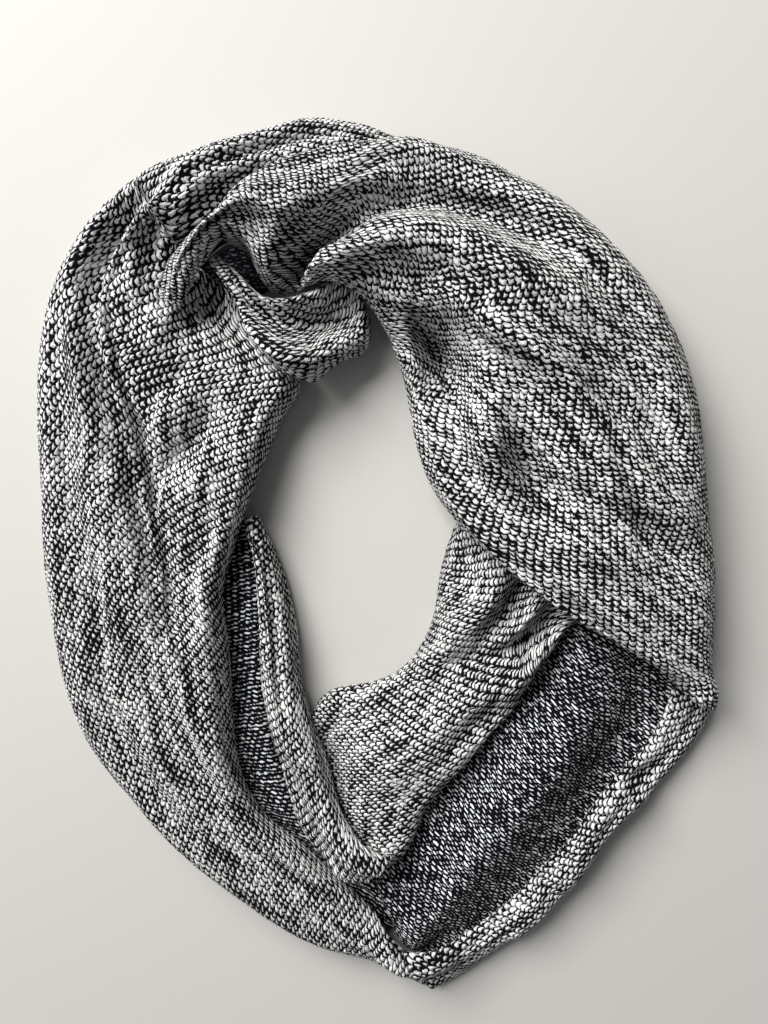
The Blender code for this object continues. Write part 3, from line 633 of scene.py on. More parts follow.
REVERSE_PANEL = (
    (65,    8,  6, 6, 10, 13,  9, 12, 5, 155,  -39),
    (73,  -18,  6, 6, 11, 18,  7, 12, 4, 157,  -60),
    (70,  -41,  6, 6, 13, 24,  8, 13, 4, 155,  -75),
    (61,  -62,  6, 6, 14, 26, 10, 14, 5, 147,  -92),
    (48,  -82,  6, 6, 14, 27, 10, 14, 5, 137, -108),
    (36,  -99,  6, 6, 14, 27, 10, 14, 5, 125, -124),
    (25, -116,  6, 6, 15, 27, 10, 14, 5, 115, -141),
    (16, -128,  8, 6, 16, 27, 10, 14, 5, 102, -157),
    ( 8, -142, 10, 6, 17, 27, 10, 14, 5,  89, -173),
    ( 2, -156, 10, 6, 18, 25, 10, 12, 5,  73, -188),
    ( 5, -169,  9, 6, 17, 23, 10, 12, 5,  58, -198),
    (10, -181,  7, 6, 14, 17, 10, 10, 5,  43, -206),
    (13, -192,  5, 5,  9, 10,  8,  7, 4,  32, -209),
    (16, -197,  4, 3,  7,  7,  7,  4, 4,  26, -209),
)
# Folds seen from above, one to a row: x and y where it starts, passes and ends, half width, height.
REVERSE_PANEL_FOLDS = (
    (111, -30, 94,  -75, 66, -116, 22,  2),
    ( 75, -76, 51, -108, 41, -139, 10, -2),
)
REVERSE_PANEL_CREASES = (
    (136,  -50, 123,  -86, 95, -123, 12, -3),
    ( 93,  -32,  75,  -57, 51,  -94,  8, -3),
    ( 51, -135,  37, -157, 27, -179,  8, -2),
)
REVERSE_PANEL_GRAIN = (
    (117,  -32, 108,   2),
    (118,  -56, 102,  -5),
    ( 94,  -57,  92, -12),
    ( 94,  -82,  88, -20),
    ( 70, -109,  85, -15),
    ( 71, -135,  87,  -5),
    ( 47, -150,  84,  -2),
    ( 21, -164,  85, -10),
    (130, -100,  96,  -8),
)
reverse_panel = lay_stretch(
    "reverse_panel", REVERSE_PANEL, REVERSE_PANEL_FOLDS + REVERSE_PANEL_CREASES, (), REVERSE_PANEL_GRAIN, 2,
    reverse_wool, 0.75, relief=0.15,
)


# ---- Lower panel ------------------------------------------------------------------------------
# The stretch on the right of the hole, which runs down and in below the upper sweep with its face
# uppermost. It is gathered into pleats where the upper sweep presses on it.

LOWER_PANEL = (
    ( 50,   39, 6,  8, 15, 20, 20, 5, 16, 114,  -14),
    ( 41,   22, 5, 10, 20, 25, 24, 6, 19, 100,  -20),
    ( 35,    1, 5, 12, 22, 29, 27, 7, 21,  90,  -33),
    ( 32,  -20, 4, 13, 21, 29, 27, 7, 21,  81,  -47),
    ( 25,  -38, 4, 14, 20, 28, 26, 7, 21,  71,  -64),
    ( 13,  -52, 4, 14, 18, 27, 26, 7, 21,  59,  -79),
    ( -3,  -59, 4, 14, 17, 27, 26, 7, 21,  47,  -96),
    (-19,  -62, 4, 14, 16, 27, 26, 7, 21,  37, -107),
    (-29,  -70, 4, 13, 16, 26, 26, 7, 21,  28, -120),
    (-35,  -88, 5,  8, 11, 25, 26, 7, 21,  23, -132),
    (-31, -110, 5,  8, 11, 23, 24, 7, 19,  16, -143),
    (-24, -129, 5,  7, 10, 15, 17, 6, 12,   5, -153),
    (-15, -143, 5,  5,  9, 10, 12, 5,  8,  -2, -157),
)
LOWER_PANEL_FOLDS = (
    ( 93, -10,  74, -32,  49,  -44,  6, -12),
    ( 76,   6,  68, -17,  50,  -37,  6, -11),
    ( 64,  12,  55, -13,  38,  -33,  8,   5),
    ( 85,  -4,  71, -27,  50,  -40,  6,   7),
    ( 56,  23,  47,   6,  41,  -10,  7,  -6),
    ( 95, -26,  84, -42,  60,  -58,  8,   4),
    (-20, -73, -21, -89, -12, -115, 10,  -4),
    (  6, -59,  16, -90,  11, -121, 26,   3),
)
LOWER_PANEL_CREASES = (
    ( 91,  -8, 72,  -29, 36,  -44, 5, -6),
    ( 76,   3, 66,  -13, 54,  -26, 4, -5),
    ( 54,  11, 46,   -8, 36,  -29, 6,  3),
    ( 93, -17, 79,  -41, 50,  -61, 6,  3),
    ( 84, -43, 65,  -66, 36,  -82, 6, -3),
    (-19, -61,  6,  -59, 31,  -54, 6, -3),
    (-19, -81, 11,  -80, 41,  -66, 7,  2),
    (-17, -99,  6, -111, 26, -105, 7, -2),
)
LOWER_PANEL_GRAIN = (
    (50,   15,   5,  -80),
    (45,   -9,  11,  -70),
    (45,  -34,  10,  -72),
    (70,  -45, -10,  -95),
    (46,  -59, -22, -106),
    (21,  -60, -38, -106),
    (46,  -84, -16, -104),
    (21,  -85, -34, -102),
    (-4,  -86, -46, -114),
    (21, -111, -27, -105),
    (-4, -112, -38, -114),
)

# The face: the white yarn shows in each stitch as a plump slanting loop, thick where the yarn has
# a slub, and the black yarn shows between the loops and between their columns.
LOOP_ACROSS = 2.55      # a loop of size 1 reaches one part in this many of a column from its middle
LOOP_ALONG = 3.1        # and one part in this many of a row
face_knit, knob, wale, course = knit_group("face of two-yarn knit", (
    ("White", (0.84, 0.84, 0.83, 1)),
    ("Grey", (0.25, 0.255, 0.26, 1)),
    ("Dark", (0.0025, 0.0025, 0.0035, 1)),
    ("White share", 0.66),
    ("Cup", -1.0),
    ("Lean", 1.0),
))
tree = face_knit

# The rows and columns wander a little, and each stitch is a loop with a left and a right leg.
course_here = course + (soft_noise(tree, joined(tree, wale, course, 3.0), 0.5) - 0.5) * 0.9
wale_here = wale + (soft_noise(tree, joined(tree, wale, course, 9.0), 0.7) - 0.5) * 0.6
column = wale_here.made("FLOOR")
across = wale_here.made("FRACT") - 0.5
legs = across.made("ABSOLUTE")
row = course_here + column * 0.5 + legs.made("POWER", 1.5) * knob["Cup"] + across * knob["Lean"]
in_row = row.made("FRACT") - 0.5

# Each loop has its own size, thicker at a slub and in a streak, and strands that fray its edge.
chance = even_chance(tree, joined(tree, column, row.made("FLOOR")))
leg_chance = even_chance(tree, joined(tree, (wale_here * 2).made("FLOOR"), row.made("FLOOR"), 5.0))
slub = soft_noise(tree, joined(tree, wale * 0.4, course * 1.6, 14.0), 0.8)
cloud = streaks(tree, knob["Lie"], 6.0)
strands = soft_noise(tree, joined(tree, wale * 2.4, row * 4.6, 6.0), 1.0, 1.0)
fibres = soft_noise(tree, joined(tree, wale * 8.0, course * 5.0, 2.0), 1.0, 2.0)
wide = (legs * LOOP_ACROSS).made("POWER", 3.0)
tall = (in_row.made("ABSOLUTE") * LOOP_ALONG).made("POWER", 3.0)
from_middle = (wide + tall).made("POWER", 0.333)
size = chance * 0.35 + leg_chance * 0.3 + (slub - 0.5) * 0.6 + (cloud - 0.5) * 1.35 + knob["White share"]
inside = size - from_middle + (strands - 0.5) * 1.2 + (fibres - 0.5) * 1.2
white = inside.eased(-0.04, 0.08)

# Within the white some strands are greyer, and the loops stand out above the black yarn.
shade = leg_chance * 0.5 + cloud * 0.6 + strands * 1.2 + fibres * 0.9 + inside * 0.2
shade = (shade - 1.05).eased(0.0, 0.7)
grey = blended(tree, shade, knob["Grey"], knob["White"])
finish_group(tree, blended(tree, white, knob["Dark"], grey), inside.eased(-0.3, 0.8))

face_wool = cloth_material("face_wool", face_knit, 0.7)
lower_panel = lay_stretch(
    "lower_panel", LOWER_PANEL, LOWER_PANEL_FOLDS + LOWER_PANEL_CREASES, (), LOWER_PANEL_GRAIN, 2,
    face_wool, 0.75,
)


# ---- Inner curl -------------------------------------------------------------------------------
# A narrow roll of the cloth's edge on the left of the hole, with the face outside. It stands up
# between the inner fold and the lower panel.

INNER_CURL = (
    (-59,   30,  7, 4, 13, 14, 13, 4, 13, -65,   28),
    (-52,   14,  6, 5, 20, 22, 20, 4, 16, -60,   12),
    (-45,   -7,  5, 7, 22, 25, 23, 4, 17, -57,   -9),
    (-40,  -31,  5, 8, 24, 27, 25, 4, 18, -56,  -31),
    (-38,  -55,  6, 8, 25, 28, 26, 4, 19, -55,  -54),
    (-32,  -74,  9, 8, 27, 30, 27, 5, 20, -52,  -75),
    (-24,  -92, 13, 8, 28, 31, 28, 5, 20, -47,  -93),
    (-18, -111, 16, 8, 28, 31, 28, 5, 20, -42, -110),
    (-12, -122, 18, 8, 27, 30, 27, 5, 19, -37, -127),
    ( -4, -130, 19, 7, 26, 28, 26, 5, 18, -30, -140),
    (  5, -134, 19, 6, 24, 25, 24, 5, 17, -18, -151),
    ( 13, -136, 17, 5, 21, 21, 20, 4, 15,  -1, -153),
)
INNER_CURL_CREASES = (
    (-52,  10, -48,  -31, -44,  -72, 4, -3),
    (-39, -20, -36,  -61, -25, -102, 4,  2),
    (-42, -82, -35, -113, -17, -138, 4, -3),
)
INNER_CURL_GRAIN = (
    (-53,   15, 58, -27),
    (-48,  -20, 52, -36),
    (-44,  -60, 50, -40),
    (-29,  -95, 44, -46),
    (-12, -130, 68, -32),
)
inner_curl = lay_stretch(
    "inner_curl", INNER_CURL, INNER_CURL_CREASES, (), INNER_CURL_GRAIN, 2, face_wool, 0.8
)


# ---- Left sweep -------------------------------------------------------------------------------
# The broad stretch that comes over the top, down the left side and round to the bottom. Its outer
# part is folded over the inner panel in one long steep lap.

LEFT_SWEEP = (
    ( 36,  195,  4, 4,  8,  8,  8,  4, 3,   37,  203),
    ( 15,  198,  6, 5, 12, 13, 12,  6, 3,   19,  212),
    (-10,  199, 12, 5, 22, 24, 22,  9, 3,   -4,  220),
    (-34,  195, 14, 6, 27, 30, 28, 12, 3,  -28,  223),
    (-56,  185, 14, 6, 31, 35, 34, 15, 3,  -56,  217),
    (-77,  170, 14, 6, 31, 37, 37, 18, 3,  -81,  210),
    (-90,  156, 14, 6, 31, 38, 39, 20, 3, -107,  201),
    (-65,  137, 14, 8, 24, 34, 40, 20, 3, -127,  187),
    (-48,  113, 12, 8, 24, 33, 40, 20, 3, -148,  163),
    (-36,   96, 10, 8, 25, 34, 40, 20, 3, -161,  136),
    (-44,   81, 10, 8, 27, 34, 40, 18, 3, -167,  106),
    (-52,   63, 12, 8, 29, 34, 40, 18, 3, -169,   73),
    (-62,   35, 19, 7, 33, 36, 40, 18, 3, -169,   36),
    (-70,   11, 19, 7, 34, 36, 40, 18, 3, -168,    2),
    (-75,  -10, 20, 7, 35, 37, 39, 18, 3, -165,  -30),
    (-72,  -38, 21, 7, 37, 36, 39, 18, 3, -160,  -61),
    (-71,  -73, 19, 7, 35, 37, 36, 17, 3, -148,  -92),
    (-68, -101, 17, 7, 32, 36, 34, 16, 3, -128, -120),
    (-58, -124, 14, 7, 29, 33, 32, 15, 3, -107, -143),
    (-37, -142, 15, 7, 26, 29, 28, 14, 3,  -82, -167),
    (-16, -163, 14, 6, 23, 25, 24, 12, 3,  -53, -188),
    (  4, -181, 14, 6, 20, 22, 20, 10, 4,  -22, -204),
    ( 10, -188, 12, 6, 17, 18, 16,  9, 4,    4, -212),
    ( 17, -197,  9, 5, 13, 14, 12,  7, 3,   32, -226),
)
LEFT_SWEEP_FOLDS = (
    ( -89, 187, -118,  170, -130,  137,  7, -14),
    ( -58, 204,  -90,  186, -106,  138,  8,   6),
    ( -29, 200,  -65,  189,  -87,  162,  6,  -5),
    ( -16, 209,  -38,  209,  -59,  201,  5,  -4),
    (-147,  69, -145,   10, -122,  -59, 10,  -3),
    (-109, -56,  -84, -112,  -34, -157, 10,  -3),
    ( -89, -61,  -67, -112,  -29, -148,  9,   3),
    (-103, 115,  -92,  134,  -74,  156,  6,   8),
    ( -60, 181,  -80,  161,  -99,  124,  5,  -7),
    ( -89, 122,  -78,  137,  -65,  150, 11, -12),
    ( -36,  87,  -50,   54,  -64,   11, 10,   4),
)
# The lap's steep side: how far along and how far across the stretch it is in percent, and its rise.
LEFT_SWEEP_LAP = (
    (25, 66,  5),
    (29, 84, 13),
    (32, 87, 15),
    (35, 81, 15),
    (37, 74, 14),
    (40, 66, 13),
    (42, 60, 13),
    (46, 51, 13),
    (50, 41, 12),
    (54, 32, 11),
    (59, 25, 10),
    (61, 21,  7),
    (65, 16,  3),
    (67, 12,  0),
)
LAP_WALL = 3.6          # width of the steep side of the lap
LAP_REACH = 26.0        # distance over which the lap levels out
LEFT_SWEEP_CREASES = (
    (-110,  174, -125,  160, -131,  138, 6,  -6),
    (-131,  140, -127,  105, -114,   72, 5, -10),
    (-116,   76, -110,   31, -100,  -27, 5,  -9),
    (-139,  132, -134,   92, -121,   50, 5,   5),
    (-101,   48,  -91,   61,  -79,   73, 5,  -5),
    (-102,   73,  -93,   88,  -81,   98, 7,   4),
    ( -78,  188,  -97,  170, -102,  134, 4,  -5),
    ( -88,  187, -105,  169, -112,  139, 5,   4),
    ( -61,  176,  -81,  162,  -95,  134, 4,  -6),
    ( -18,  209,  -43,  205,  -74,  194, 4,  -4),
    ( -29,  200,  -57,  195,  -83,  184, 4,   4),
    ( -25,  193,  -48,  188,  -64,  176, 4,  -4),
    (-145,  135, -148,   88, -143,   30, 5,  -3),
    (-134,  116, -133,   64, -121,  -10, 6,   3),
    (-144,   64, -134,  -10, -108,  -75, 5,  -3),
    (-127,  -30, -108,  -81,  -74, -137, 6,   3),
    (-135,  -40, -114,  -97,  -79, -143, 5,  -3),
    (-100,  -50,  -81, -100,  -38, -146, 5,  -3),
    ( -68, -110,  -38, -146,   -3, -172, 5,   3),
    (-102,   54,  -86,   71,  -68,   85, 6,  -4),
    (-100,   30,  -82,   50,  -62,   64, 8,   3),
    ( -91,   -4,  -80,   21,  -66,   40, 6,  -3),
    ( -82,  -39,  -77,  -19,  -70,    6, 6,   3),
    (-103,   88,  -90,   99,  -71,  111, 7,  -3),
    ( -59,  115,  -48,  104,  -40,   90, 6,   3),
)
LEFT_SWEEP_GRAIN = (
    (  -5,  205, -10, -95),
    ( -47,  200,  -6, -88),
    ( -71,  180,   0, -78),
    ( -96,  157,  18, -60),
    ( -88,  150,  16, -60),
    (-105,  134,  20, -55),
    (-114,  176,  24, -50),
    ( -84,  196,   2, -74),
    (-145,  135,  35, -40),
    (-147,   88,  46, -22),
    (-122,   88,  46, -26),
    (-149,   64,  53, -18),
    (-151,   15,  61, -12),
    (-126,  -10,  70,  -6),
    (-128,  -60,  77,   0),
    (-103,  -95,  76,  -4),
    ( -78, -110,  62, -18),
    ( -53, -161,  46, -34),
    ( -28, -160,  46, -36),
    (  10, -190,  50, -34),
    ( -97,  111,  30, -43),
    ( -73,   87,  38, -44),
    ( -74,   64,  37, -43),
    ( -99,   40,  38, -40),
    ( -75,   16,  37, -42),
    ( -76,   -9,  40, -26),
    (-101,  -34,  55, -18),
    ( -77,  -59,  60, -12),
)
below = ground
left_sweep = lay_stretch(
    "left_sweep", LEFT_SWEEP, LEFT_SWEEP_FOLDS + LEFT_SWEEP_CREASES, LEFT_SWEEP_LAP, LEFT_SWEEP_GRAIN, 3,
    face_wool, 1.09,
)


# ---- Lower rim --------------------------------------------------------------------------------
# The edge of the cloth at the lower right, curled up over itself, so that the light face shows in
# a narrow roll. The stitches turn round it in ribs.

LOWER_RIM = (
    (151,  -55,  9, 5, 12, 12, 11, 6, 3, 171,  -58),
    (147,  -67, 11, 5, 14, 14, 12, 8, 3, 170,  -70),
    (139,  -82, 13, 5, 17, 17, 15, 8, 3, 160,  -88),
    (128,  -95, 13, 5, 17, 17, 15, 8, 3, 146, -106),
    (118, -108, 13, 5, 17, 17, 15, 8, 3, 134, -118),
    (109, -121, 13, 5, 17, 17, 15, 8, 3, 122, -131),
    (100, -135, 13, 5, 17, 17, 15, 8, 3, 115, -143),
    ( 91, -146, 13, 5, 17, 17, 15, 8, 3, 106, -157),
    ( 81, -159, 13, 5, 17, 17, 15, 8, 3,  95, -171),
    ( 69, -172, 13, 5, 17, 17, 15, 8, 3,  83, -185),
    ( 56, -183, 13, 5, 16, 16, 14, 8, 3,  69, -199),
    ( 43, -191, 12, 5, 15, 15, 13, 8, 3,  56, -210),
    ( 29, -196, 10, 5, 14, 14, 12, 7, 3,  45, -219),
    ( 18, -197,  9, 5, 13, 14, 12, 7, 3,  33, -226),
)
LOWER_RIM_CREASES = (
    (159,  -69, 117, -123,  47, -200, 4, -3),
    (151,  -90, 135,  -98, 130, -102, 5, -3),
    (116, -112, 112, -122, 107, -134, 5,  2),
    ( 98, -167,  90, -156,  85, -151, 5, -3),
)
LOWER_RIM_GRAIN = (
    (145,  -85,  19, -68),
    (121, -112,   8, -78),
    ( 97, -140,  16, -72),
    ( 72, -168,   6, -80),
    ( 47, -197, -10, -96),
)
beside, ground = ground, below      # it meets the left sweep edge to edge at the lower corner
lower_rim = lay_stretch("lower_rim", LOWER_RIM, LOWER_RIM_CREASES, (), LOWER_RIM_GRAIN, 2, face_wool, 0.75)
ground = np.maximum(ground, beside)


# ---- Knot lobe --------------------------------------------------------------------------------
# A twisted tongue of cloth at the top of the hole, where the upper sweep comes out from behind the
# left sweep. It is rolled in on both sides.

KNOT_LOBE = (
    (-73, 151, 34, 3, 37, 37, 36, 3, 33, -70, 155),
    (-62, 135, 33, 5, 39, 38, 37, 4, 31, -61, 147),
    (-54, 117, 29, 6, 38, 36, 38, 4, 29, -54, 140),
    (-44, 106, 24, 7, 36, 34, 36, 4, 27, -47, 136),
    (-35,  99, 18, 7, 34, 31, 34, 4, 26, -38, 136),
    (-27,  97, 17, 8, 32, 28, 32, 4, 25, -31, 138),
    (-20, 103, 16, 8, 31, 25, 29, 4, 23, -24, 141),
    (-12, 108, 15, 8, 30, 24, 25, 4, 20, -17, 146),
    ( -4, 111, 14, 8, 28, 23, 22, 4, 17, -10, 148),
    (  0, 120, 13, 7, 25, 21, 19, 4, 15,  -5, 146),
    ( -1, 129, 12, 5, 19, 18, 16, 4, 12,  -3, 141),
)
KNOT_LOBE_FOLDS = (
    (-55, 134, -33, 124,  -6, 132,  7, -6),
    (-52, 113, -35, 104, -10, 113,  7,  3),
    (-58, 141, -44, 124, -21, 106, 10,  2),
)
KNOT_LOBE_CREASES = (
    (-34, 126, -17, 125,  -3, 129, 8, -7),
    (-65, 143, -53, 126, -38, 113, 5, -3),
    (-49, 134, -36, 128, -19, 134, 6, -4),
    (-31, 111, -22, 113, -10, 115, 6, -3),
)
KNOT_LOBE_GRAIN = (
    (-61, 141, 130,  50),
    (-50, 125, 135,  55),
    (-31, 115, 160,  80),
    (-12, 122, 192, 110),
)
knot_lobe = lay_stretch(
    "knot_lobe", KNOT_LOBE, KNOT_LOBE_FOLDS + KNOT_LOBE_CREASES, (), KNOT_LOBE_GRAIN, 2, face_wool, 0.75
)


# ---- Upper sweep ------------------------------------------------------------------------------
# The topmost stretch, from the knot over the top and the right side, with its face uppermost. Its
# outer edge hangs to the surface, and it is crossed by a few long soft folds.

UPPER_SWEEP = (
    (-88, 132, 35,  2, 36, 37, 36,  2, 35, -97, 136),
    (-83, 139, 36,  4, 39, 40, 39,  4, 36, -95, 143),
    (-78, 145, 37,  6, 41, 43, 42,  6, 37, -91, 152),
    (-72, 152, 37,  6, 43, 46, 43,  7, 36, -81, 161),
    (-64, 160, 27,  8, 43, 48, 43,  8, 29, -66, 178),
    (-57, 157, 20, 10, 43, 50, 44,  8, 27, -50, 191),
    (-53, 147, 14, 10, 39, 50, 42,  8, 28, -31, 198),
    (-48, 141, 12, 10, 33, 50, 40,  8, 27, -13, 203),
    (-40, 140, 12, 10, 29, 48, 38,  9, 24,   5, 206),
    (-32, 141, 13,  9, 30, 48, 37, 12, 18,  23, 208),
    (-21, 143, 19,  7, 35, 51, 37, 15, 12,  41, 204),
    (-10, 140, 28,  6, 38, 53, 38, 18,  6,  64, 195),
    ( -1, 135, 26,  7, 37, 54, 40, 20,  3,  91, 180),
    (  7, 123, 14,  8, 35, 54, 42, 22,  3, 119, 156),
    ( 15, 105, 10, 10, 35, 53, 42, 22,  3, 142, 125),
    ( 19,  86,  8, 12, 35, 52, 42, 22,  3, 155,  93),
    ( 23,  66,  8, 12, 35, 52, 42, 22,  3, 161,  61),
    ( 31,  46, 14, 10, 36, 50, 42, 22,  3, 164,  32),
    ( 42,  31, 22,  8, 38, 48, 41, 22,  3, 167,   7),
    ( 66,   9, 28,  6, 40, 46, 40, 20,  3, 168, -15),
    ( 93, -11, 28,  6, 40, 44, 38, 18,  3, 168, -31),
    (119, -27, 26,  6, 38, 41, 35, 14,  3, 168, -43),
    (139, -39, 24,  6, 33, 35, 31, 10,  8, 168, -51),
    (154, -53, 18,  6, 27, 28, 25,  8,  9, 168, -60),
)
UPPER_SWEEP_FOLDS = (
    (-84, 141, -71, 161, -45, 177,  6,   4),
    (-45, 177, -10, 189,  34, 189, 10,   4),
    (-34, 135, -25, 158,  17, 176,  7, -12),
    (-37, 135, -31, 146, -22, 157,  6,  -7),
    ( -1, 171,  30, 178,  78, 159, 13,  -7),
    (-41, 136, -43, 149, -35, 167,  7,   7),
    (  0, 133,  48, 125,  92,  97,  8,   8),
    (  6, 128,  33, 109,  49,  76,  8, -13),
    ( 17, 111,  28,  90,  31,  73,  6,  -4),
    ( 48, 104,  57,  73,  63,  28, 12,   4),
    (-13, 147,  48, 145, 120, 111, 18,   4),
    ( 69, 162, 108, 136, 143, 110, 11,  -5),
    ( 71,  73,  82,  51,  89,  33, 12,  -4),
    (105,  95, 123,  60, 129,  16, 16,   3),
    ( 49,  38,  86,   8, 132, -27,  9,   3),
)
UPPER_SWEEP_CREASES = (
    ( 24, 129,  32, 110,  40,  88, 12, -10),
    ( 52,  88,  58,  74,  64,  59,  9,   6),
    ( 66,  73,  80,  48,  89,  33,  9,  -4),
    (  5, 177,  39, 175,  81, 160,  8,  -8),
    ( 17, 133,  21, 115,  26,  91,  5,   9),
    ( 27, 124,  35, 108,  43,  90,  9,  -9),
    ( 64,  75,  79,  49,  90,  32,  9,  -8),
    (-18, 145,  11, 157,  40, 148,  9,   6),
    ( 40, 147,  78, 137, 114, 118,  9,   5),
    ( 49,  89,  56,  73,  64,  55,  9,   7),
    ( 48, 121,  65, 112,  82, 102,  5,   4),
    ( 98,  98, 123,  75, 144,  57,  7,  -5),
    (103,  40, 127,  25, 152,   9,  9,  -7),
    ( 89,  29, 104,  21, 125,  15,  9,   5),
    (106,  69, 124,  47, 146,  34,  8,   5),
    (-34, 140, -28, 158,  -7, 167,  6,  -7),
    (-14, 164,  13, 175,  61, 168,  7,  -6),
    (-28, 142,  -7, 152,  30, 149,  7,   5),
    ( -5, 153,  39, 158, 104, 133,  9,   3),
    ( 17, 111,  24,  99,  31,  88,  5,  -4),
    ( 26, 114,  32, 104,  36,  90,  4,   3),
    ( 37, 131,  79, 117, 123,  86,  5,   3),
    ( 48, 128,  88, 110, 127,  73,  5,  -3),
    ( 87, 121, 118,  97, 145,  60,  6,  -4),
    ( 99,  82, 120,  47, 135,   2,  6,  -3),
    ( 88,  91, 106,  64, 120,  29,  6,   3),
    (111,  42, 129,  16, 149, -20,  6,   3),
    ( 42,  78,  49,  55,  72,  28,  6,  -3),
    ( 71,  95,  88,  73, 106,  56,  6,  -3),
    ( 54,  24,  90,  -3, 131, -28,  5,  -3),
    ( 80,  42, 107,  15, 135, -12,  7,   2),
    ( 30, 182,  69, 174, 104, 148,  6,   3),
    (-14, 185,  17, 191,  48, 185,  5,  -3),
)
UPPER_SWEEP_GRAIN = (
    ( -1, 153, 115,  37),
    ( 21, 174, 118,  40),
    ( 43, 173, 112,  35),
    ( 65, 173, 106,  30),
    ( 44, 152, 117,  40),
    ( 66, 130, 120,  36),
    ( 88, 108, 113,  30),
    (109, 130, 112,  27),
    (131, 108, 114,  33),
    ( 66,  87,  91,  12),
    ( 88,  87,  96,  16),
    (110,  86,  99,  20),
    ( 22,  87,  62, -12),
    ( 44,  64,  68,  -7),
    ( 67,  64,  90,  12),
    (111,  64,  95,  20),
    ( 45,  42,  72,  -1),
    ( 89,  42,  96,   8),
    (133,  42,  95,  13),
    ( 67,  19,  91,  10),
    (113,  -3, 104,  18),
    (135, -26, 100,  22),
)
upper_sweep = lay_stretch(
    "upper_sweep", UPPER_SWEEP, UPPER_SWEEP_FOLDS + UPPER_SWEEP_CREASES, (), UPPER_SWEEP_GRAIN, 3,
    face_wool, 1.02, lean=0.9,
)


# ---- Hidden layers ----------------------------------------------------------------------------
# The layers of the loop that the stretches hide, gathered into one soft ring. Their folded edges
# show as a few rounded plies in the hollows and at the foot.

CORE = (
    (-28, 109,  -28,  210),
    (-17, 113,    4,  204),
    ( -4, 116,   38,  196),
    ( 10, 113,   77,  178),
    ( 18, 101,  112,  151),
    ( 23,  86,  137,  117),
    ( 29,  68,  148,   78),
    ( 38,  48,  155,   39),
    ( 53,  22,  158,   -7),
    ( 56,  -9,  159,  -38),
    ( 53, -35,  152,  -62),
    ( 43, -62,  133,  -89),
    ( 27, -77,  114, -119),
    ( 14, -83,   91, -148),
    (  1, -85,   68, -172),
    (-12, -87,   44, -188),
    (-21, -95,   14, -193),
    (-34, -98,  -24, -186),
    (-48, -90,  -62, -168),
    (-56, -71,  -97, -141),
    (-60, -44, -124, -108),
    (-62, -17, -149,  -69),
    (-66,   5, -162,  -35),
    (-71,  24, -167,    3),
    (-71,  42, -168,   47),
    (-67,  60, -168,   89),
    (-60,  76, -161,  128),
    (-51,  90, -142,  166),
    (-42, 100, -107,  195),
    (-36, 106,  -67,  209),
)
CORE_STATIONS = 60
CORE_LAYERS = 3         # folded layers that show in its sides
LAYER_BULGE = 2.0       # how far each layer stands out between its grooves
CORE_REACH = 18.0       # the layers stay below every stretch within this distance
CORE_LEAST = 1.2        # least height
CORE_SIDE = 12.0        # height that the sides have where there is room for it
CORE_MOST = 50.0        # greatest height
DRAWN_MOST = 0.4        # greatest share of its width by which a side is drawn in
DRAWN_STEPS = 20        # steps in which that is tried
CORE_FOOT = 0.3         # height of its lowest edge
CORE_TOP_POINTS = 50    # points across its top
CORE_SIDE_POINTS = 21   # points up each side


def drawn_in(edge, far, room):
    """One side of the ring, moved from `edge` towards `far` to where the stretches leave room."""
    shares = np.linspace(0, DRAWN_MOST, DRAWN_STEPS + 1)
    places = edge[:, None] + (far - edge)[:, None] * shares[:, None]
    tall = read_map(room, places) >= CORE_SIDE
    first = np.where(tall.any(axis=1), tall.argmax(axis=1), DRAWN_STEPS)
    widest = np.maximum(first, np.maximum(np.roll(first, 1), np.roll(first, -1)))
    eased = (np.roll(widest, 1) + 2 * widest + np.roll(widest, -1)) / 4
    return edge + (far - edge) * (np.maximum(eased, first) * DRAWN_MOST / DRAWN_STEPS)[:, None]


room = spread(np.minimum(height_map(laid, np.minimum, np.inf), CORE_MOST), CORE_REACH, np.minimum)
room = soften(room, SAG_REACH) - LAYER_GAP
rows = smooth_rows(CORE, CORE_STATIONS, slice(0, 2), slice(2, 4), closed=True)
foot = np.hstack([drawn_in(rows[:, :2], rows[:, 2:], room), drawn_in(rows[:, 2:], rows[:, :2], room)])
foot = smooth_rows(foot, 6 * CORE_STATIONS, slice(0, 2), slice(2, 4), closed=True)
inner, outer = foot[:, :2], foot[:, 2:]
outward = (outer - inner) / np.linalg.norm(outer - inner, axis=1)[:, None]
ring = []
for share in np.linspace(0, 1, CORE_TOP_POINTS):
    place = inner + (outer - inner) * share
    ring.append(np.column_stack([place, np.maximum(read_map(room, place), CORE_LEAST)]))
sides = []
for edge, away, height in ((inner, -outward, ring[0][:, 2]), (outer, outward, ring[-1][:, 2])):
    side = []
    for level in np.linspace(0, 1, CORE_SIDE_POINTS + 1)[:-1]:
        bulge = LAYER_BULGE * abs(math.sin(math.pi * CORE_LAYERS * level))
        side.append(np.column_stack([edge + away * bulge, CORE_FOOT + (height - CORE_FOOT) * level]))
    sides.append(side)
surface = np.stack(sides[0] + ring + sides[1][::-1], axis=1)
across = np.pad(np.linalg.norm(np.diff(surface, axis=1), axis=-1), [(0, 0), (1, 0)]).cumsum(axis=1)
around = np.pad(np.linalg.norm(np.diff((inner + outer) / 2, axis=0), axis=1), (1, 0)).cumsum()
counts = np.stack([np.broadcast_to(around[:, None], across.shape) / WALE, across / COURSE], -1)
hidden_layers = sheet_mesh("hidden_layers_cloth", surface, counts, 10 * counts, closed=True)
# Painted shade: the white yarn of these layers is painted nearly black, and a little less of it shows,
# standing in for the deep shade of the hollows where they show.
hidden_wool_painted_shade = cloth_material("hidden_wool_painted_shade", reverse_knit, 0.9, white=(0.09, 0.09, 0.1, 1), white_share=0.4)
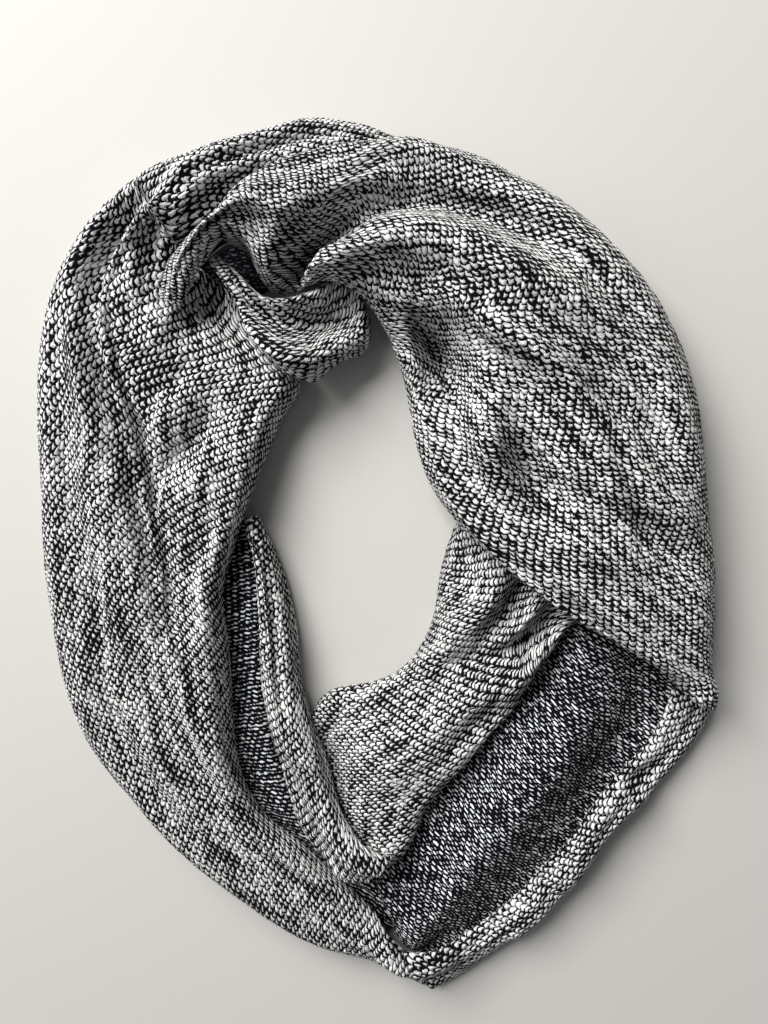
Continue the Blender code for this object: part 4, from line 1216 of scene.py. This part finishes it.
hidden_layers.data.materials.append(hidden_wool_painted_shade)
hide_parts("hidden_layers")
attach(hidden_layers, "root")


# ---- Surface, light and camera ----------------------------------------------------------------
# A plain pale table under soft daylight from the upper left, looked down on.

bpy.ops.mesh.primitive_plane_add(size=6, location=(0, 0, 0))
floor = bpy.context.active_object
floor.name = "floor"
pale = bpy.data.materials.new("pale_table")
pale.use_nodes = True
pale.node_tree.nodes["Principled BSDF"].inputs["Base Color"].default_value = (0.52, 0.505, 0.48, 1)
pale.node_tree.nodes["Principled BSDF"].inputs["Roughness"].default_value = 0.7
floor.data.materials.append(pale)


def soft_lamp(name, place, size, watts, colour):
    """A square lamp aimed at the middle of the scarf, its place and size in metres."""
    lamp = bpy.data.lights.new(name, "AREA")
    lamp.size, lamp.energy, lamp.color = size, watts, colour
    lit = bpy.data.objects.new(name, lamp)
    bpy.context.collection.objects.link(lit)
    lit.location = place
    lit.rotation_euler = (-Vector(place)).to_track_quat("-Z", "Y").to_euler()


soft_lamp("window", (-0.9, 1.3, 1.42), 1.3, 84, (1.0, 0.99, 0.97))
soft_lamp("fill", (-1.7, 0.1, 1.3), 1.4, 9, (0.95, 0.97, 1.0))
world = bpy.data.worlds.new("room")
bpy.context.scene.world = world
world.use_nodes = True
world.node_tree.nodes["Background"].inputs["Color"].default_value = (0.93, 0.96, 1.0, 1)
world.node_tree.nodes["Background"].inputs["Strength"].default_value = 0.16
bpy.context.scene.view_settings.view_transform = "Standard"

eye, aim = Vector((44.5, 72.2, 400.0)) * MM, Vector((5.5, 31.2, 0.0)) * MM
ahead = (aim - eye).normalized()
right = ahead.cross(Vector((0, 1, 0))).normalized()
up = right.cross(ahead)
lens = bpy.data.cameras.new("camera")
lens.sensor_fit, lens.sensor_height, lens.lens, lens.clip_start = "VERTICAL", 36, 27.42, 0.01
camera = bpy.data.objects.new("camera", lens)
bpy.context.collection.objects.link(camera)
camera.matrix_world = Matrix.Translation(eye) @ Matrix((right, up, -ahead)).transposed().to_4x4()
bpy.context.scene.camera = camera
